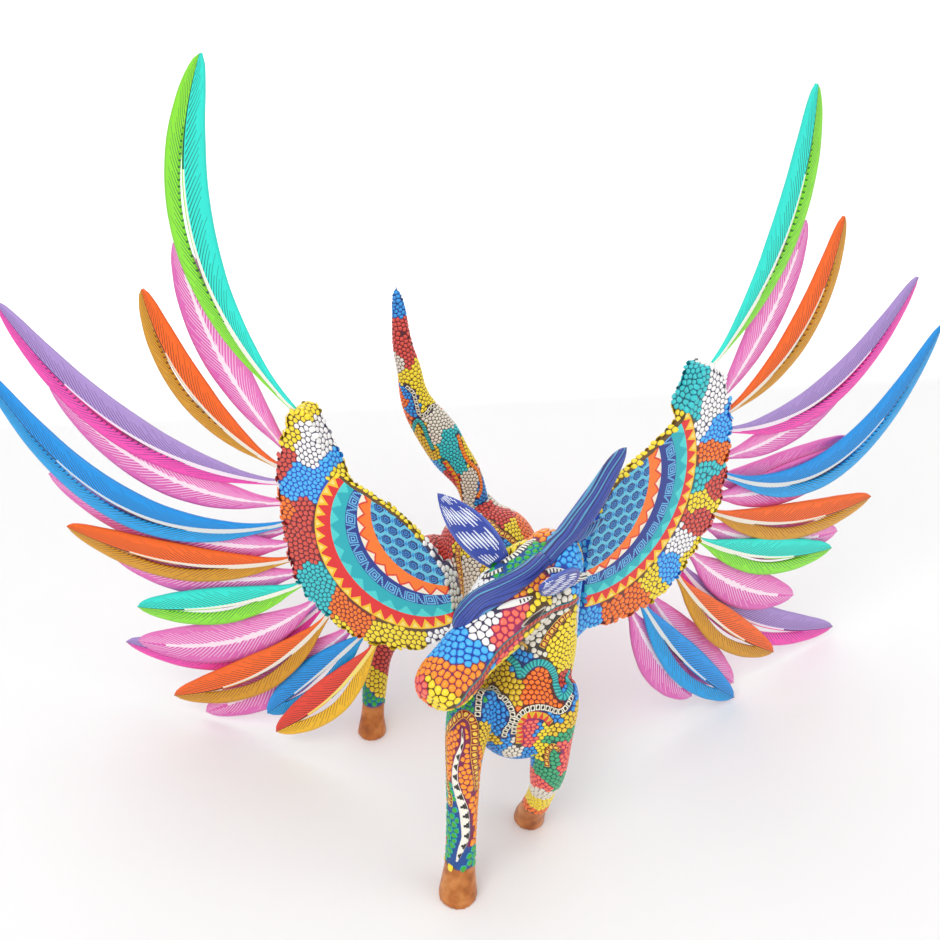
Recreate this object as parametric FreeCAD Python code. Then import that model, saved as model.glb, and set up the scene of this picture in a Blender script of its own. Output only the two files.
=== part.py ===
import FreeCAD, Part
import math
import os

# A carved and painted winged horse. Wings, tail and ears plug in; the rest is glued up.
# Millimetres. The horse faces -Y, +Z is up and +X is the horse's own left side.

# Overall sizes
LEG_TOP = 95.0            # ground to the level where the legs meet the trunk
BODY_LENGTH = 216.0       # chest to rump
FEATHER_LONGEST = 254.0   # longest flight feather, without its quill
TAIL_HEIGHT = 166.0       # tail seat to tail tip

# Wing
WING_SWEEP = 30.1         # degrees each wing leans back from square
WING_ROOT = (30.0, -25.8)
PANEL_THICK = 16.0
LOBE_BULGE = 0.20         # rise of each rim lobe over its chord
EDGE_BULGE = 0.03         # the same along the smooth leading edge
FEATHER_THICK = 3.0
FEATHER_WIDTH = 28.0
LAYER_STEP = 4.6          # distance between the feather rows through the panel
QUILL_RADIUS = 1.9
QUILL_DEPTH = 11.0
SLIT_WIDTH = 3.2
TENON_HEIGHT = 18.0
TENON_THICK = 9.0
TENON_LENGTH = 24.0

# Pegs, dowels and their gaps
FIT = 0.06                # gap round a peg that pulls out
GLUE_FIT = 0.10           # gap round a glued quill or dowel
SEAT_GAP = 0.4            # gap between a plug-in piece and the skin beside it
END_GAP = 1.0             # room past the end of a peg
DOWEL_RADIUS = 3.5
DOWEL_LENGTH = 26.0
EAR_PEG_RADIUS = 2.6
EAR_PEG_LENGTH = 13.0
TAIL_PEG_RADIUS = 5.5
TAIL_PEG_LENGTH = 26.0

V = FreeCAD.Vector
CHEST_FRONT = -97.0
X_AXIS = V(1, 0, 0)
Z_AXIS = V(0, 0, 1)


def along(fraction):
    """Y of a place on the trunk, 0 at the chest and 1 at the rump."""
    return CHEST_FRONT + fraction * BODY_LENGTH


def ring(centre, side, deep, half_side, half_deep):
    """A closed smooth section with the two half widths given."""
    points = []
    for step in range(10):
        turn = math.radians(36 * step)
        points.append(centre + side * (half_side * math.cos(turn)) + deep * (half_deep * math.sin(turn)))
    curve = Part.BSplineCurve()
    curve.interpolate(Points=points, PeriodicFlag=True)
    return Part.Wire(curve.toShape())


def limb(stations, across, tip=None):
    """A carved solid through stations of x, y, z, half width across and half depth."""
    centres = [V(*station[:3]) for station in stations]
    if tip:
        centres.append(V(*tip))
    rings = []
    for number, station in enumerate(stations):
        before = centres[max(number - 1, 0)]
        after = centres[min(number + 1, len(centres) - 1)]
        run = (after - before).normalize()
        deep = run.cross(across).normalize()
        side = deep.cross(run)
        rings.append(ring(centres[number], side, deep, station[3], station[4]))
    if tip:
        rings.append(Part.Vertex(centres[-1]))
    return Part.makeLoft(rings, True, False)


def rod(start, direction, radius, length):
    return Part.makeCylinder(radius, length, start, direction)


def slab(low, high):
    """A block wide enough to hold the whole trunk between two heights."""
    return Part.makeBox(1200, 1200, high - low, V(-600, -600, low))


# Trunk and legs --------------------------------------------------------------

# fraction along, x, height over the leg tops, half width, half height
TRUNK = (
    (0.012, -6, 15, 14, 16),
    (0.035, -6, 16, 23, 26),
    (0.10, -6, 19, 31, 34),
    (0.21, -6, 20, 34, 37),
    (0.36, -6, 22, 32, 35),
    (0.52, -6, 25, 28, 31),
    (0.68, -5, 33, 28, 29),
    (0.84, -4, 42, 37, 36),
    (0.93, -3, 41, 31, 31),
    (0.985, -2, 40, 16, 17),
)

# x, y, height, half width, half depth. Heights up to 1 are parts of LEG_TOP, above it millimetres.
LEGS = {
    "leg_front_right": (0.045, (
        (-50, -22, -0.06, 13.4, 14.2), (-50, -22, 0.0, 12.8, 13.8), (-49, -20, 0.14, 11.0, 11.6),
        (-48, -19, 0.28, 9.6, 10.2), (-47, -17, 0.5, 9.0, 9.8), (-46, -14, 0.72, 9.4, 10.4),
        (-45, -11, 0.97, 10.4, 12.5), (-41, -2, 22.0, 13.5, 17.0), (-31, 10, 44.0, 14.0, 16.0))),
    "leg_front_left": (0.045, (
        (7, 39, -0.06, 11.5, 12.5), (7, 39, 0.0, 11.0, 12.0), (8, 33, 0.15, 9.2, 9.6),
        (10, 25, 0.32, 8.2, 8.8), (11, 14, 0.54, 8.6, 9.6), (12, 7, 0.74, 11.0, 12.5),
        (14, 6, 0.97, 11.5, 14.5), (17, 10, 20.0, 12.5, 18.0), (18, 18, 38.0, 11.0, 15.0))),
    "leg_hind_right": (0.84, (
        (-96, -25, -0.06, 11.6, 12.2), (-96, -25, 0.0, 11.1, 11.7), (-95, -22, 0.14, 8.9, 9.6),
        (-93, -15, 0.30, 8.6, 9.2), (-89, -5, 0.52, 8.9, 9.7), (-82, 3, 0.68, 10.5, 12.0),
        (-66, 5, 0.90, 14.0, 16.5), (-50, 4, 15.0, 20.0, 22.0), (-30, 2, 38.0, 22.0, 24.0))),
    "leg_hind_left": (0.84, (
        (28, -21, -0.06, 11.6, 12.2), (28, -21, 0.0, 11.1, 11.7), (28, -17, 0.14, 8.9, 9.6),
        (28, -9, 0.30, 8.6, 9.2), (29, 3, 0.50, 9.0, 9.8), (31, 9, 0.68, 11.0, 13.0),
        (31, 6, 0.90, 14.5, 17.5), (27, 2, 15.0, 19.0, 22.0), (18, 0, 38.0, 20.0, 24.0))),
}
# Height of each sawn joint, as a part of LEG_TOP
LEG_JOINT = {"leg_front_right": 0.95, "leg_front_left": 0.70, "leg_hind_right": 0.92, "leg_hind_left": 0.92}


def leg_stations(name):
    root, rows = LEGS[name]
    stations = []
    for x, y, height, half_width, half_depth in rows:
        z = height * LEG_TOP if height < 1 else LEG_TOP + height
        stations.append((x, along(root) + y, z, half_width, half_depth))
    return stations


def station_at(stations, height):
    """Centre of a leg at a height, straight between its two nearest stations."""
    for low, top in zip(stations, stations[1:]):
        if low[2] <= height <= top[2]:
            share = (height - low[2]) / (top[2] - low[2])
            return V(*[a + share * (b - a) for a, b in zip(low[:3], top[:3])])
    return V(*stations[-1][:3])


trunk = limb([(x, along(f), LEG_TOP + z, w, h) for f, x, z, w, h in TRUNK], X_AXIS)
legs = {}
dowels = {}
for leg_name in LEGS:
    stations = leg_stations(leg_name)
    whole = limb(stations, X_AXIS)
    joint = LEG_JOINT[leg_name] * LEG_TOP
    legs[leg_name] = whole.common(slab(0, joint))
    trunk = trunk.fuse(whole.common(slab(joint, 900)))
    centre = station_at(stations, joint)
    axis = (station_at(stations, joint + 10) - station_at(stations, joint - 14)).normalize()
    dowels["dowel_" + leg_name] = rod(centre - axis * (DOWEL_LENGTH / 2), axis, DOWEL_RADIUS, DOWEL_LENGTH)
    hole = rod(centre - axis * (DOWEL_LENGTH / 2 + END_GAP), axis, DOWEL_RADIUS + GLUE_FIT,
               DOWEL_LENGTH + 2 * END_GAP)
    legs[leg_name] = legs[leg_name].cut(hole)
    trunk = trunk.cut(hole)

# Neck and head ---------------------------------------------------------------

NECK = (
    (-4, 0.24, 20, 33, 36), (-2, 0.215, 38, 32, 34), (4, 0.21, 56, 29, 32), (10, 0.225, 78, 24, 29),
    (15, 0.24, 102, 21, 27), (20, 0.265, 118, 17, 20), (23, 0.28, 126, 9, 11),
)
# x, y from the poll, height over the leg tops, half width, half depth
HEAD = (
    (18, 8, 107, 15, 14), (10, 0, 105, 22, 23), (-3, -11, 100, 25, 24.5), (-18, -24, 93, 23, 22),
    (-32, -37, 85, 19.5, 18), (-46, -50, 77, 17.5, 15.5), (-56, -60, 72, 18, 14.5), (-62, -66, 69, 15.5, 12),
    (-66, -70, 67, 9, 7),
)
POLL_Y = 0.235
neck_stations = [(x, along(f), LEG_TOP + z, w, d) for x, f, z, w, d in NECK]
neck = limb(neck_stations, X_AXIS)
skull = limb([(x, along(POLL_Y) + y, LEG_TOP + z, w, d) for x, y, z, w, d in HEAD], V(0.64, -0.77, 0))

# The neck is sawn square to its own axis a little under the jaw.
saw_at = V(*neck_stations[3][:3])
saw_axis = (V(*neck_stations[4][:3]) - V(*neck_stations[2][:3])).normalize()
above_saw = rod(saw_at, saw_axis, 200, 200)
trunk = trunk.fuse(neck.cut(above_saw))
head = skull.fuse(neck.common(above_saw)).cut(trunk)
dowels["dowel_neck"] = rod(saw_at - saw_axis * (DOWEL_LENGTH / 2), saw_axis, DOWEL_RADIUS + 1, DOWEL_LENGTH)
neck_hole = rod(saw_at - saw_axis * (DOWEL_LENGTH / 2 + END_GAP), saw_axis, DOWEL_RADIUS + 1 + GLUE_FIT,
                DOWEL_LENGTH + 2 * END_GAP)
trunk = trunk.cut(neck_hole)
head = head.cut(neck_hole)

# Ears ------------------------------------------------------------------------

# root, direction, blade length; each ear pulls out along its direction
EARS = {
    "ear_right": ((-13, -6, 113), V(-39, 14, 46), 64.0),
    "ear_left": ((28, -18, 110), V(-34, -42, 22), 50.0),
}
EAR_SHAPE = ((0.0, 5.5), (0.10, 7.5), (0.28, 10.8), (0.48, 11.6), (0.68, 9.6), (0.85, 5.6))
EAR_THICK = 3.4
ears = {}
ear_slides = {}
ear_seats = []
for ear_name, (root, direction, length) in EARS.items():
    start = V(root[0], along(POLL_Y) + root[1], LEG_TOP + root[2])
    direction = direction.normalize()
    across = V(0.2, -0.45, 1) if ear_name == "ear_left" else V(0.7, 0.1, 0.6)
    stations = []
    for fraction, half_width in EAR_SHAPE:
        centre = start + direction * (fraction * length)
        stations.append((centre.x, centre.y, centre.z, half_width, EAR_THICK * (1 - 0.45 * fraction)))
    tip = start + direction * length
    blade = limb(stations, across, (tip.x, tip.y, tip.z))
    peg = rod(start - direction * EAR_PEG_LENGTH, direction, EAR_PEG_RADIUS, EAR_PEG_LENGTH + 4)
    socket = rod(start - direction * (EAR_PEG_LENGTH + END_GAP), direction, EAR_PEG_RADIUS + FIT,
                 EAR_PEG_LENGTH + 12)
    ears[ear_name] = blade.fuse(peg)
    ear_slides[ear_name] = (start, direction)
    # A flat seat is cut for each ear, as wide and thick as its blade, so that it can be pulled out.
    widest = max(half_width for _, half_width in EAR_SHAPE) + SEAT_GAP
    room_ends = [start - direction * SEAT_GAP, start + direction * length]
    ear_seats.append(limb([(end.x, end.y, end.z, widest, EAR_THICK + SEAT_GAP) for end in room_ends], across))
    head = head.cut(socket).cut(ear_seats[-1])

# Forelock and mane -----------------------------------------------------------

FORELOCK = (
    (9, -16, 123, 5, 5.5), (-5, -26.5, 120, 6.5, 6), (-19, -32.5, 115, 7.5, 6), (-32, -34.5, 108.5, 8.5, 6),
    (-41, -36.5, 101, 8, 5.5), (-45.5, -38.5, 93, 5, 4.5),
)
MANE = (
    (8, -17, 121, 5, 5.5), (16, -9, 126, 6, 6), (26, -1, 132, 7, 6.5), (42.5, 5, 151, 7.5, 6),
    (54, 12.5, 166, 6, 4.5), (61, 18, 173.5, 4, 3.2),
)
MANE_TIP = (66, 22, 177)
LOCKS = (((34, 3, 141), (54, 9, 152.5)), ((30, 1, 129), (52, 9, 136.5)))


def crest_stations(rows):
    return [(x, along(POLL_Y) + y, LEG_TOP + z, w, d) for x, y, z, w, d in rows]


def crest_point(x, y, z):
    return V(x, along(POLL_Y) + y, LEG_TOP + z)


forelock = limb(crest_stations(FORELOCK), V(-0.1, 0.8, 0.6)).cut(head).cut(Part.makeCompound(ear_seats))
mane = limb(crest_stations(MANE), V(-0.35, 0.2, 0.9), tuple(crest_point(*MANE_TIP)))
for lock_root, lock_tip in LOCKS:
    base = crest_point(*lock_root)
    point = crest_point(*lock_tip)
    middle = base + (point - base) * 0.45 + V(0, 0, -2)
    mane = mane.fuse(limb([(base.x, base.y, base.z, 5.5, 5.0), (middle.x, middle.y, middle.z, 3.8, 3.6)],
                          Z_AXIS, tuple(point)))
mane = mane.cut(head).cut(forelock).cut(trunk)

# Tail ------------------------------------------------------------------------

# x, fraction of TAIL_HEIGHT, half width, half depth
TAIL = (
    (-12, 0.0, 9.4, 8.2), (-14, 0.05, 9.8, 8.4), (-18, 0.12, 10.8, 8.8), (-25, 0.19, 12.6, 9.4),
    (-33, 0.27, 14.0, 10.0), (-41, 0.36, 14.0, 10.0), (-51, 0.46, 11.4, 9.0), (-57, 0.58, 8.8, 7.6),
    (-62, 0.74, 6.8, 6.0), (-64, 0.88, 4.8, 4.2), (-65.4, 0.965, 2.6, 2.4),
)
TAIL_FOOT = V(-12, along(0.90), LEG_TOP + 79)
tail_stations = [(x, TAIL_FOOT.y, TAIL_FOOT.z + f * TAIL_HEIGHT, w, d) for x, f, w, d in TAIL]
tail_axis = (V(*tail_stations[1][:3]) - TAIL_FOOT).normalize()
tail = limb(tail_stations, X_AXIS, (-66, TAIL_FOOT.y, TAIL_FOOT.z + TAIL_HEIGHT))
tail = tail.fuse(rod(TAIL_FOOT - tail_axis * TAIL_PEG_LENGTH, tail_axis, TAIL_PEG_RADIUS, TAIL_PEG_LENGTH + 6))
# A low croup stands up under the tail and gives it a flat seat.
croup_top = TAIL_FOOT - tail_axis * SEAT_GAP
croup = Part.makeCone(24, 12, 24, croup_top - tail_axis * 24, tail_axis)
trunk = trunk.fuse(croup).cut(rod(croup_top, tail_axis, 26, 40))
trunk = trunk.cut(rod(TAIL_FOOT - tail_axis * (TAIL_PEG_LENGTH + END_GAP), tail_axis, TAIL_PEG_RADIUS + FIT,
                      TAIL_PEG_LENGTH + 12))

# Wings -----------------------------------------------------------------------

# Each wing is carved to its own outline. The first row of corners runs from the inner foot up
# the leading edge to the finger, the second back down the lobed rim: distance out from the wing
# root, height over it.
PANELS = {
    "right": (
        ((29, -19), (17, -11), (9, -1), (12, 24), (18, 42), (31, 58), (47, 72), (64, 81), (80, 88), (92, 95),
         (99, 109), (106, 125), (110, 134)),
        ((110, 134), (120, 134), (125, 120), (129, 104), (133, 92), (133, 79), (133, 64), (131, 49), (130, 34),
         (128, 18), (122, 4), (113, -7), (102, -15), (90, -23), (77, -26), (62, -27), (46, -25), (29, -19)),
    ),
    "left": (
        ((28, -12), (16, -10), (12, 9), (11, 33), (13, 55), (20, 73), (31, 88), (46, 97), (64, 104), (80, 112),
         (92, 120), (98, 132), (103, 143), (107, 151)),
        ((107, 151), (121, 147), (129, 132), (135, 114), (137, 95), (137, 76), (136, 57), (131, 38), (120, 24),
         (108, 10), (95, -3), (80, -10), (64, -13), (45, -13), (28, -12)),
    ),
}
# root out, root up, part of the longest, degrees, bow, row through the panel, slit or not
FEATHERS = {
    "right": (
        (119, 133, 0.86, 78, -37, 1, True), (126, 98, 0.61, 62, -17, 0, False),
        (135, 91, 0.56, 50, -28, 1, True), (136, 79, 0.925, 24, -28, 1, True),
        (134, 62, 0.77, 17, -26, 0, False), (133, 49, 1.0, 17, -43, 1, True),
        (134, 41, 0.81, 0, -24, -1, False), (133, 31, 0.595, 2, -20, 0, False),
        (130, 22, 0.76, -5, -17, 1, True), (125, 11, 0.645, -9, -14, 0, False),
        (123, 4, 0.61, -21, -11, 1, True), (115, -9, 0.705, -26, -18, 0, False),
        (110, -11, 0.79, -25, -24, -1, True), (105, -17, 0.70, -38, -16, 1, True),
        (90, -26, 0.70, -41, -8, -1, False), (79, -27, 0.505, -48, -3, 0, True),
        (69, -30, 0.53, -50, -11, 1, True),
    ),
    "left": (
        (117, 151, 0.725, 67, -26, 1, True), (130, 118, 0.53, 58, -15, 0, False),
        (133, 111, 0.62, 49, -34, 1, True), (138, 99, 0.83, 19, -34, 1, True),
        (139, 76, 0.68, 18, -24, 0, False), (136, 67, 0.99, 12, -48, 1, True),
        (135, 60, 0.645, -6, -15, -1, False), (136, 47, 0.66, -4, -13, 0, False),
        (128, 40, 0.80, -15, -15, 1, True), (129, 27, 0.69, -21, -11, 0, False),
        (120, 20, 0.685, -22, -12, 1, True), (117, 9, 0.615, -34, -12, 0, False),
        (107, 6, 1.0, -35, -17, -1, True), (102, -3, 0.67, -44, -10, 1, True),
        (81, -11, 0.67, -50, -7, -1, False), (67, -10, 0.70, -50, -9, 1, True),
        (61, -16, 0.525, -56, -7, 0, False),
    ),
}
BLADE = ((0.0, 0.10), (0.08, 0.22), (0.2, 0.52), (0.36, 0.82), (0.55, 1.0), (0.72, 0.88), (0.87, 0.52))
BLADE_START = 7.0         # bare quill between the rim and the blade


def arcs(corners, bulge):
    """Arcs that bulge outward between the corners, which run clockwise."""
    edges = []
    for start, end in zip(corners, corners[1:]):
        a = V(*start, 0)
        b = V(*end, 0)
        outward = (b - a).cross(Z_AXIS) * -bulge
        edges.append(Part.Arc(a, (a + b) * 0.5 + outward, b).toShape())
    return edges


def spline(points):
    curve = Part.BSplineCurve()
    curve.interpolate(Points=points)
    return curve.toShape()


def feather_line(root, length, degrees, bow):
    """Gives a function from a share of the length and a sideways step to a point."""
    turn = math.radians(degrees)
    forward = V(math.cos(turn), math.sin(turn), 0)
    left = V(-math.sin(turn), math.cos(turn), 0)

    def place(share, sideways=0.0):
        run = forward * (length * share) + left * (4 * bow * share * (1 - share))
        slope = (forward * length + left * (4 * bow * (1 - 2 * share))).normalize()
        return root + run + V(-slope.y, slope.x, 0) * sideways

    return place


def feather(u, v, share_long, degrees, bow, row, slit):
    """One flat feather with its round quill, in the flat wing frame."""
    length = share_long * FEATHER_LONGEST
    level = row * LAYER_STEP
    root = V(u, v, level - FEATHER_THICK / 2)
    place = feather_line(root, length, degrees, bow * length / 190)
    first = BLADE_START / length
    shares = [first + share * (1 - first) for share, _ in BLADE]
    halves = [FEATHER_WIDTH / 2 * half * (0.75 + 0.25 * length / 200) for _, half in BLADE]
    left_edge = spline([place(s, h) for s, h in zip(shares, halves)] + [place(1)])
    right_edge = spline([place(s, -h) for s, h in zip(shares, halves)] + [place(1)])
    foot = Part.makeLine(place(shares[0], halves[0]), place(shares[0], -halves[0]))
    blade = Part.Face(Part.Wire([foot, right_edge, left_edge])).extrude(V(0, 0, FEATHER_THICK))
    if slit:
        low, top = -0.5, -0.5 - SLIT_WIDTH
        steps = (0.20, 0.34, 0.48, 0.62)
        sides = [spline([place(s, edge) for s in steps]) for edge in (low, top)]
        ends = [Part.makeLine(place(s, low), place(s, top)) for s in (steps[0], steps[-1])]
        blade = blade.cut(Part.Face(Part.Wire([sides[0], ends[1], sides[1], ends[0]])).extrude(
            V(0, 0, FEATHER_THICK)))
    heading = (place(0.04) - place(0)).normalize()
    quill_root = V(u, v, level)
    quill = rod(quill_root - heading * (QUILL_DEPTH - END_GAP), heading, QUILL_RADIUS,
                QUILL_DEPTH - END_GAP + BLADE_START + 9)
    hole = rod(quill_root - heading * QUILL_DEPTH, heading, QUILL_RADIUS + GLUE_FIT, QUILL_DEPTH + 20)
    return blade.fuse(quill), hole


sweep = math.radians(WING_SWEEP)
WING_UP = LEG_TOP + 55.0
TENON_DROP = -8.0         # tenon centre under the wing root
to_wing = FreeCAD.Matrix(math.cos(sweep), 0, math.sin(sweep), WING_ROOT[0],
                         math.sin(sweep), 0, -math.cos(sweep), WING_ROOT[1],
                         0, 1, 0, WING_UP,
                         0, 0, 0, 1)


def tenon_block(grow, length):
    """The wing tenon, or its socket when grown, pointing into the trunk."""
    height = TENON_HEIGHT + 2 * grow
    thick = TENON_THICK + 2 * grow
    return Part.makeBox(length, height, thick, V(-length, TENON_DROP - height / 2, -thick / 2))


arm = limb([(0, TENON_DROP, 0, 12.5, 9.0), (9, -5, 0, 12, 8.4), (20, 3, 0, 13, 7.6), (34, 14, 0, 12, 6.6)],
           V(0, 1, 0))
arm = arm.common(Part.makeBox(200, 400, 100, V(0, -200, -50))).fuse(tenon_block(0, TENON_LENGTH))
panels = {}
feathers = {}
for side_name, (leading_edge, rim) in PANELS.items():
    outline = arcs(leading_edge, EDGE_BULGE) + arcs(rim, LOBE_BULGE)
    panel = Part.Face(Part.Wire(outline)).extrude(V(0, 0, PANEL_THICK))
    panel.translate(V(0, 0, -PANEL_THICK / 2))
    panel = panel.fuse(arm)
    feathers[side_name] = []
    for row in FEATHERS[side_name]:
        blade, hole = feather(*row)
        panel = panel.cut(hole)
        feathers[side_name].append(blade)
    panels[side_name] = panel

boss = limb([(-SEAT_GAP, TENON_DROP, 0, 14, 11), (-12, TENON_DROP - 1, 0, 17, 15),
             (-30, TENON_DROP - 9, 0, 20, 19)], V(0, 1, 0))
boss = boss.common(Part.makeBox(200, 400, 200, V(-200 - SEAT_GAP, -200, -100)))
socket = tenon_block(FIT, TENON_LENGTH + END_GAP)
seat_room = Part.makeBox(120, 90, PANEL_THICK + 10, V(-SEAT_GAP, -32, -PANEL_THICK / 2 - 5))


def placed(shape, right):
    """A wing-frame shape set on the horse's left side, or mirrored to its right."""
    done = shape.copy()
    done.Placement = FreeCAD.Placement(to_wing).multiply(done.Placement)
    if right:
        done = done.mirror(V(0, 0, 0), X_AXIS)
    return done


for right in (False, True):
    trunk = trunk.fuse(placed(boss, right))
for right in (False, True):
    trunk = trunk.cut(placed(socket, right)).cut(placed(seat_room, right))
    for leg_name in legs:
        legs[leg_name] = legs[leg_name].cut(trunk)
head = head.cut(trunk)
mane = mane.cut(trunk)

# Naming, placing and writing -------------------------------------------------

pieces = {"body": trunk, "head": head, "forelock": forelock, "mane": mane, "tail": tail}
pieces.update(legs)
pieces.update(ears)
pieces.update(dowels)
for side_name, right in (("left", False), ("right", True)):
    pieces["wing_" + side_name] = placed(panels[side_name], right)
    for number, blade in enumerate(feathers[side_name], 1):
        pieces["feather_%s_%02d" % (side_name, number)] = placed(blade, right)

everything = Part.makeCompound(list(pieces.values())).optimalBoundingBox(True, False)
shift = V(-everything.Center.x, -everything.Center.y, -everything.ZMin)
os.makedirs("parts", exist_ok=True)
for name, shape in pieces.items():
    shape.translate(shift)
    shape.exportStep(os.path.join("parts", name + ".step"))

print("size %.2f %.2f %.2f" % (everything.XLength, everything.YLength, everything.ZLength))
print("origin moved by %.2f %.2f %.2f" % (shift.x, shift.y, shift.z))
print("tail seat", TAIL_FOOT + shift, tail_axis)
for name, (start, direction) in ear_slides.items():
    print(name, start + shift, direction)
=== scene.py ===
import math

import bmesh
import bpy
import numpy as np
from mathutils import Matrix, Vector, kdtree
from mathutils.bvhtree import BVHTree


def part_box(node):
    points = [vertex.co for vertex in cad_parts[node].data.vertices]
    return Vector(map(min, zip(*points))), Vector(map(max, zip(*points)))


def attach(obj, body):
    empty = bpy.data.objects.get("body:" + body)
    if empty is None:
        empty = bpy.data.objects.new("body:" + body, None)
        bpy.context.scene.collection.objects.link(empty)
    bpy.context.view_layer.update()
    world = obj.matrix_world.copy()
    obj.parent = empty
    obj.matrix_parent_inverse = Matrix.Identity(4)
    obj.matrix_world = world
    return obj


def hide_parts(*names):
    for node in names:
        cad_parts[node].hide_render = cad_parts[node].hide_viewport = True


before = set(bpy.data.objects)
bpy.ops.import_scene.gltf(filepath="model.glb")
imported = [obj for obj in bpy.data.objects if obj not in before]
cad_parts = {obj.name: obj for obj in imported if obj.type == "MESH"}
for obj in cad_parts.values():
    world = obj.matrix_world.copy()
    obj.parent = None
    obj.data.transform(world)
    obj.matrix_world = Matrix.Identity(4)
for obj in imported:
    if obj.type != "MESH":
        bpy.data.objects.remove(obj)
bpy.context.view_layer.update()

# Trunk, neck, head and legs -------------------------------------------------
# The horse is carved from a few glued blocks. The joints are filled and sanded before
# painting, so one smooth skin runs over trunk, neck, head and all four legs.

MM = 0.001
HOOF_TOP = {"leg_front_right": 27.0, "leg_front_left": 22.0, "leg_hind_right": 24.0, "leg_hind_left": 24.0}
HORSE_BLOCKS = ["body", "head"] + sorted(HOOF_TOP)
HIDDEN_DOWELS = sorted(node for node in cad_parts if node.startswith("dowel"))


def new_piece(name, mesh):
    piece = bpy.data.objects.new(name, mesh)
    bpy.context.scene.collection.objects.link(piece)
    return piece


def settled(piece):
    """The piece again, with its modifiers made plain mesh."""
    graph = bpy.context.evaluated_depsgraph_get()
    mesh = bpy.data.meshes.new_from_object(piece.evaluated_get(graph))
    name = piece.name
    bpy.data.objects.remove(piece)
    mesh.name = name
    return new_piece(name, mesh)


def carved(name, nodes, grain, sanding):
    """One smooth skin grown over some of the carved blocks."""
    block = bmesh.new()
    for node in nodes:
        part = bmesh.new()
        part.from_mesh(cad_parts[node].data)
        bmesh.ops.remove_doubles(part, verts=part.verts, dist=0.02 * MM)
        mesh = bpy.data.meshes.new(node + "_copy")
        part.to_mesh(mesh)
        part.free()
        block.from_mesh(mesh)
        bpy.data.meshes.remove(mesh)
    mesh = bpy.data.meshes.new(name)
    block.to_mesh(mesh)
    block.free()
    piece = new_piece(name, mesh)
    growth = piece.modifiers.new("grain", "REMESH")
    growth.mode = "VOXEL"
    growth.voxel_size = grain * MM
    sand = piece.modifiers.new("sanding", "SMOOTH")
    sand.factor = 0.5
    sand.iterations = sanding
    piece = settled(piece)
    piece.data.materials.clear()
    piece.data.shade_smooth()
    return piece


def corners_mm(piece):
    flat = np.empty(len(piece.data.vertices) * 3)
    piece.data.vertices.foreach_get("co", flat)
    return flat.reshape(-1, 3) / MM


def nearest_block(points, nodes):
    """For each point in millimetres, the number of the block it lies closest to."""
    trees = []
    for node in nodes:
        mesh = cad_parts[node].data
        trees.append(BVHTree.FromPolygons([v.co for v in mesh.vertices], [p.vertices for p in mesh.polygons]))
    owner = []
    for point in points:
        gaps = [tree.find_nearest(Vector(point) * MM)[3] for tree in trees]
        owner.append(gaps.index(min(gaps)))
    return np.array(owner)


horse = carved("horse_skin", HORSE_BLOCKS + HIDDEN_DOWELS, 1.5, 7)

# Paint ----------------------------------------------------------------------
# Acrylic craft paint. Each patch gets a dark ground coat, then rows of raised dots dropped from the end of a
# stick. A patch is named by its dots: dot, lighter heart, ground. The lighter heart on the top of each dome
# is a painted highlight for most pots, and a real second paint colour only for green.


def shade(red, green, blue):
    """A paint colour from the 0 to 255 values on its label."""
    values = [c / 255 for c in (red, green, blue)]
    return tuple(c / 12.92 if c < 0.04045 else ((c + 0.055) / 1.055) ** 2.4 for c in values) + (1.0,)


POTS = {
    "sky": (shade(14, 150, 240), shade(70, 190, 255), shade(0, 70, 190)),
    "white": (shade(252, 250, 244), shade(255, 255, 255), shade(58, 48, 92)),
    "bone": (shade(222, 212, 192), shade(240, 234, 220), shade(70, 64, 60)),
    "coral": (shade(226, 50, 66), shade(255, 116, 92), shade(176, 36, 110)),
    "orange": (shade(255, 128, 0), shade(255, 158, 22), shade(140, 36, 90)),
    "ember": (shade(250, 92, 0), shade(255, 128, 20), shade(110, 34, 16)),
    "red": (shade(190, 38, 42), shade(226, 78, 62), shade(96, 12, 30)),
    "yellow": (shade(250, 212, 6), shade(255, 232, 40), shade(96, 66, 10)),
    "mustard": (shade(222, 176, 12), shade(244, 206, 40), shade(98, 68, 8)),
    "blue": (shade(0, 118, 208), shade(40, 158, 236), shade(4, 46, 128)),
    "green": (shade(0, 176, 184), shade(44, 176, 40), shade(0, 84, 170)),
    "jade": (shade(22, 152, 104), shade(60, 180, 120), shade(8, 96, 90)),
    "teal": (shade(0, 184, 198), shade(50, 210, 214), shade(0, 96, 112)),
}

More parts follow.
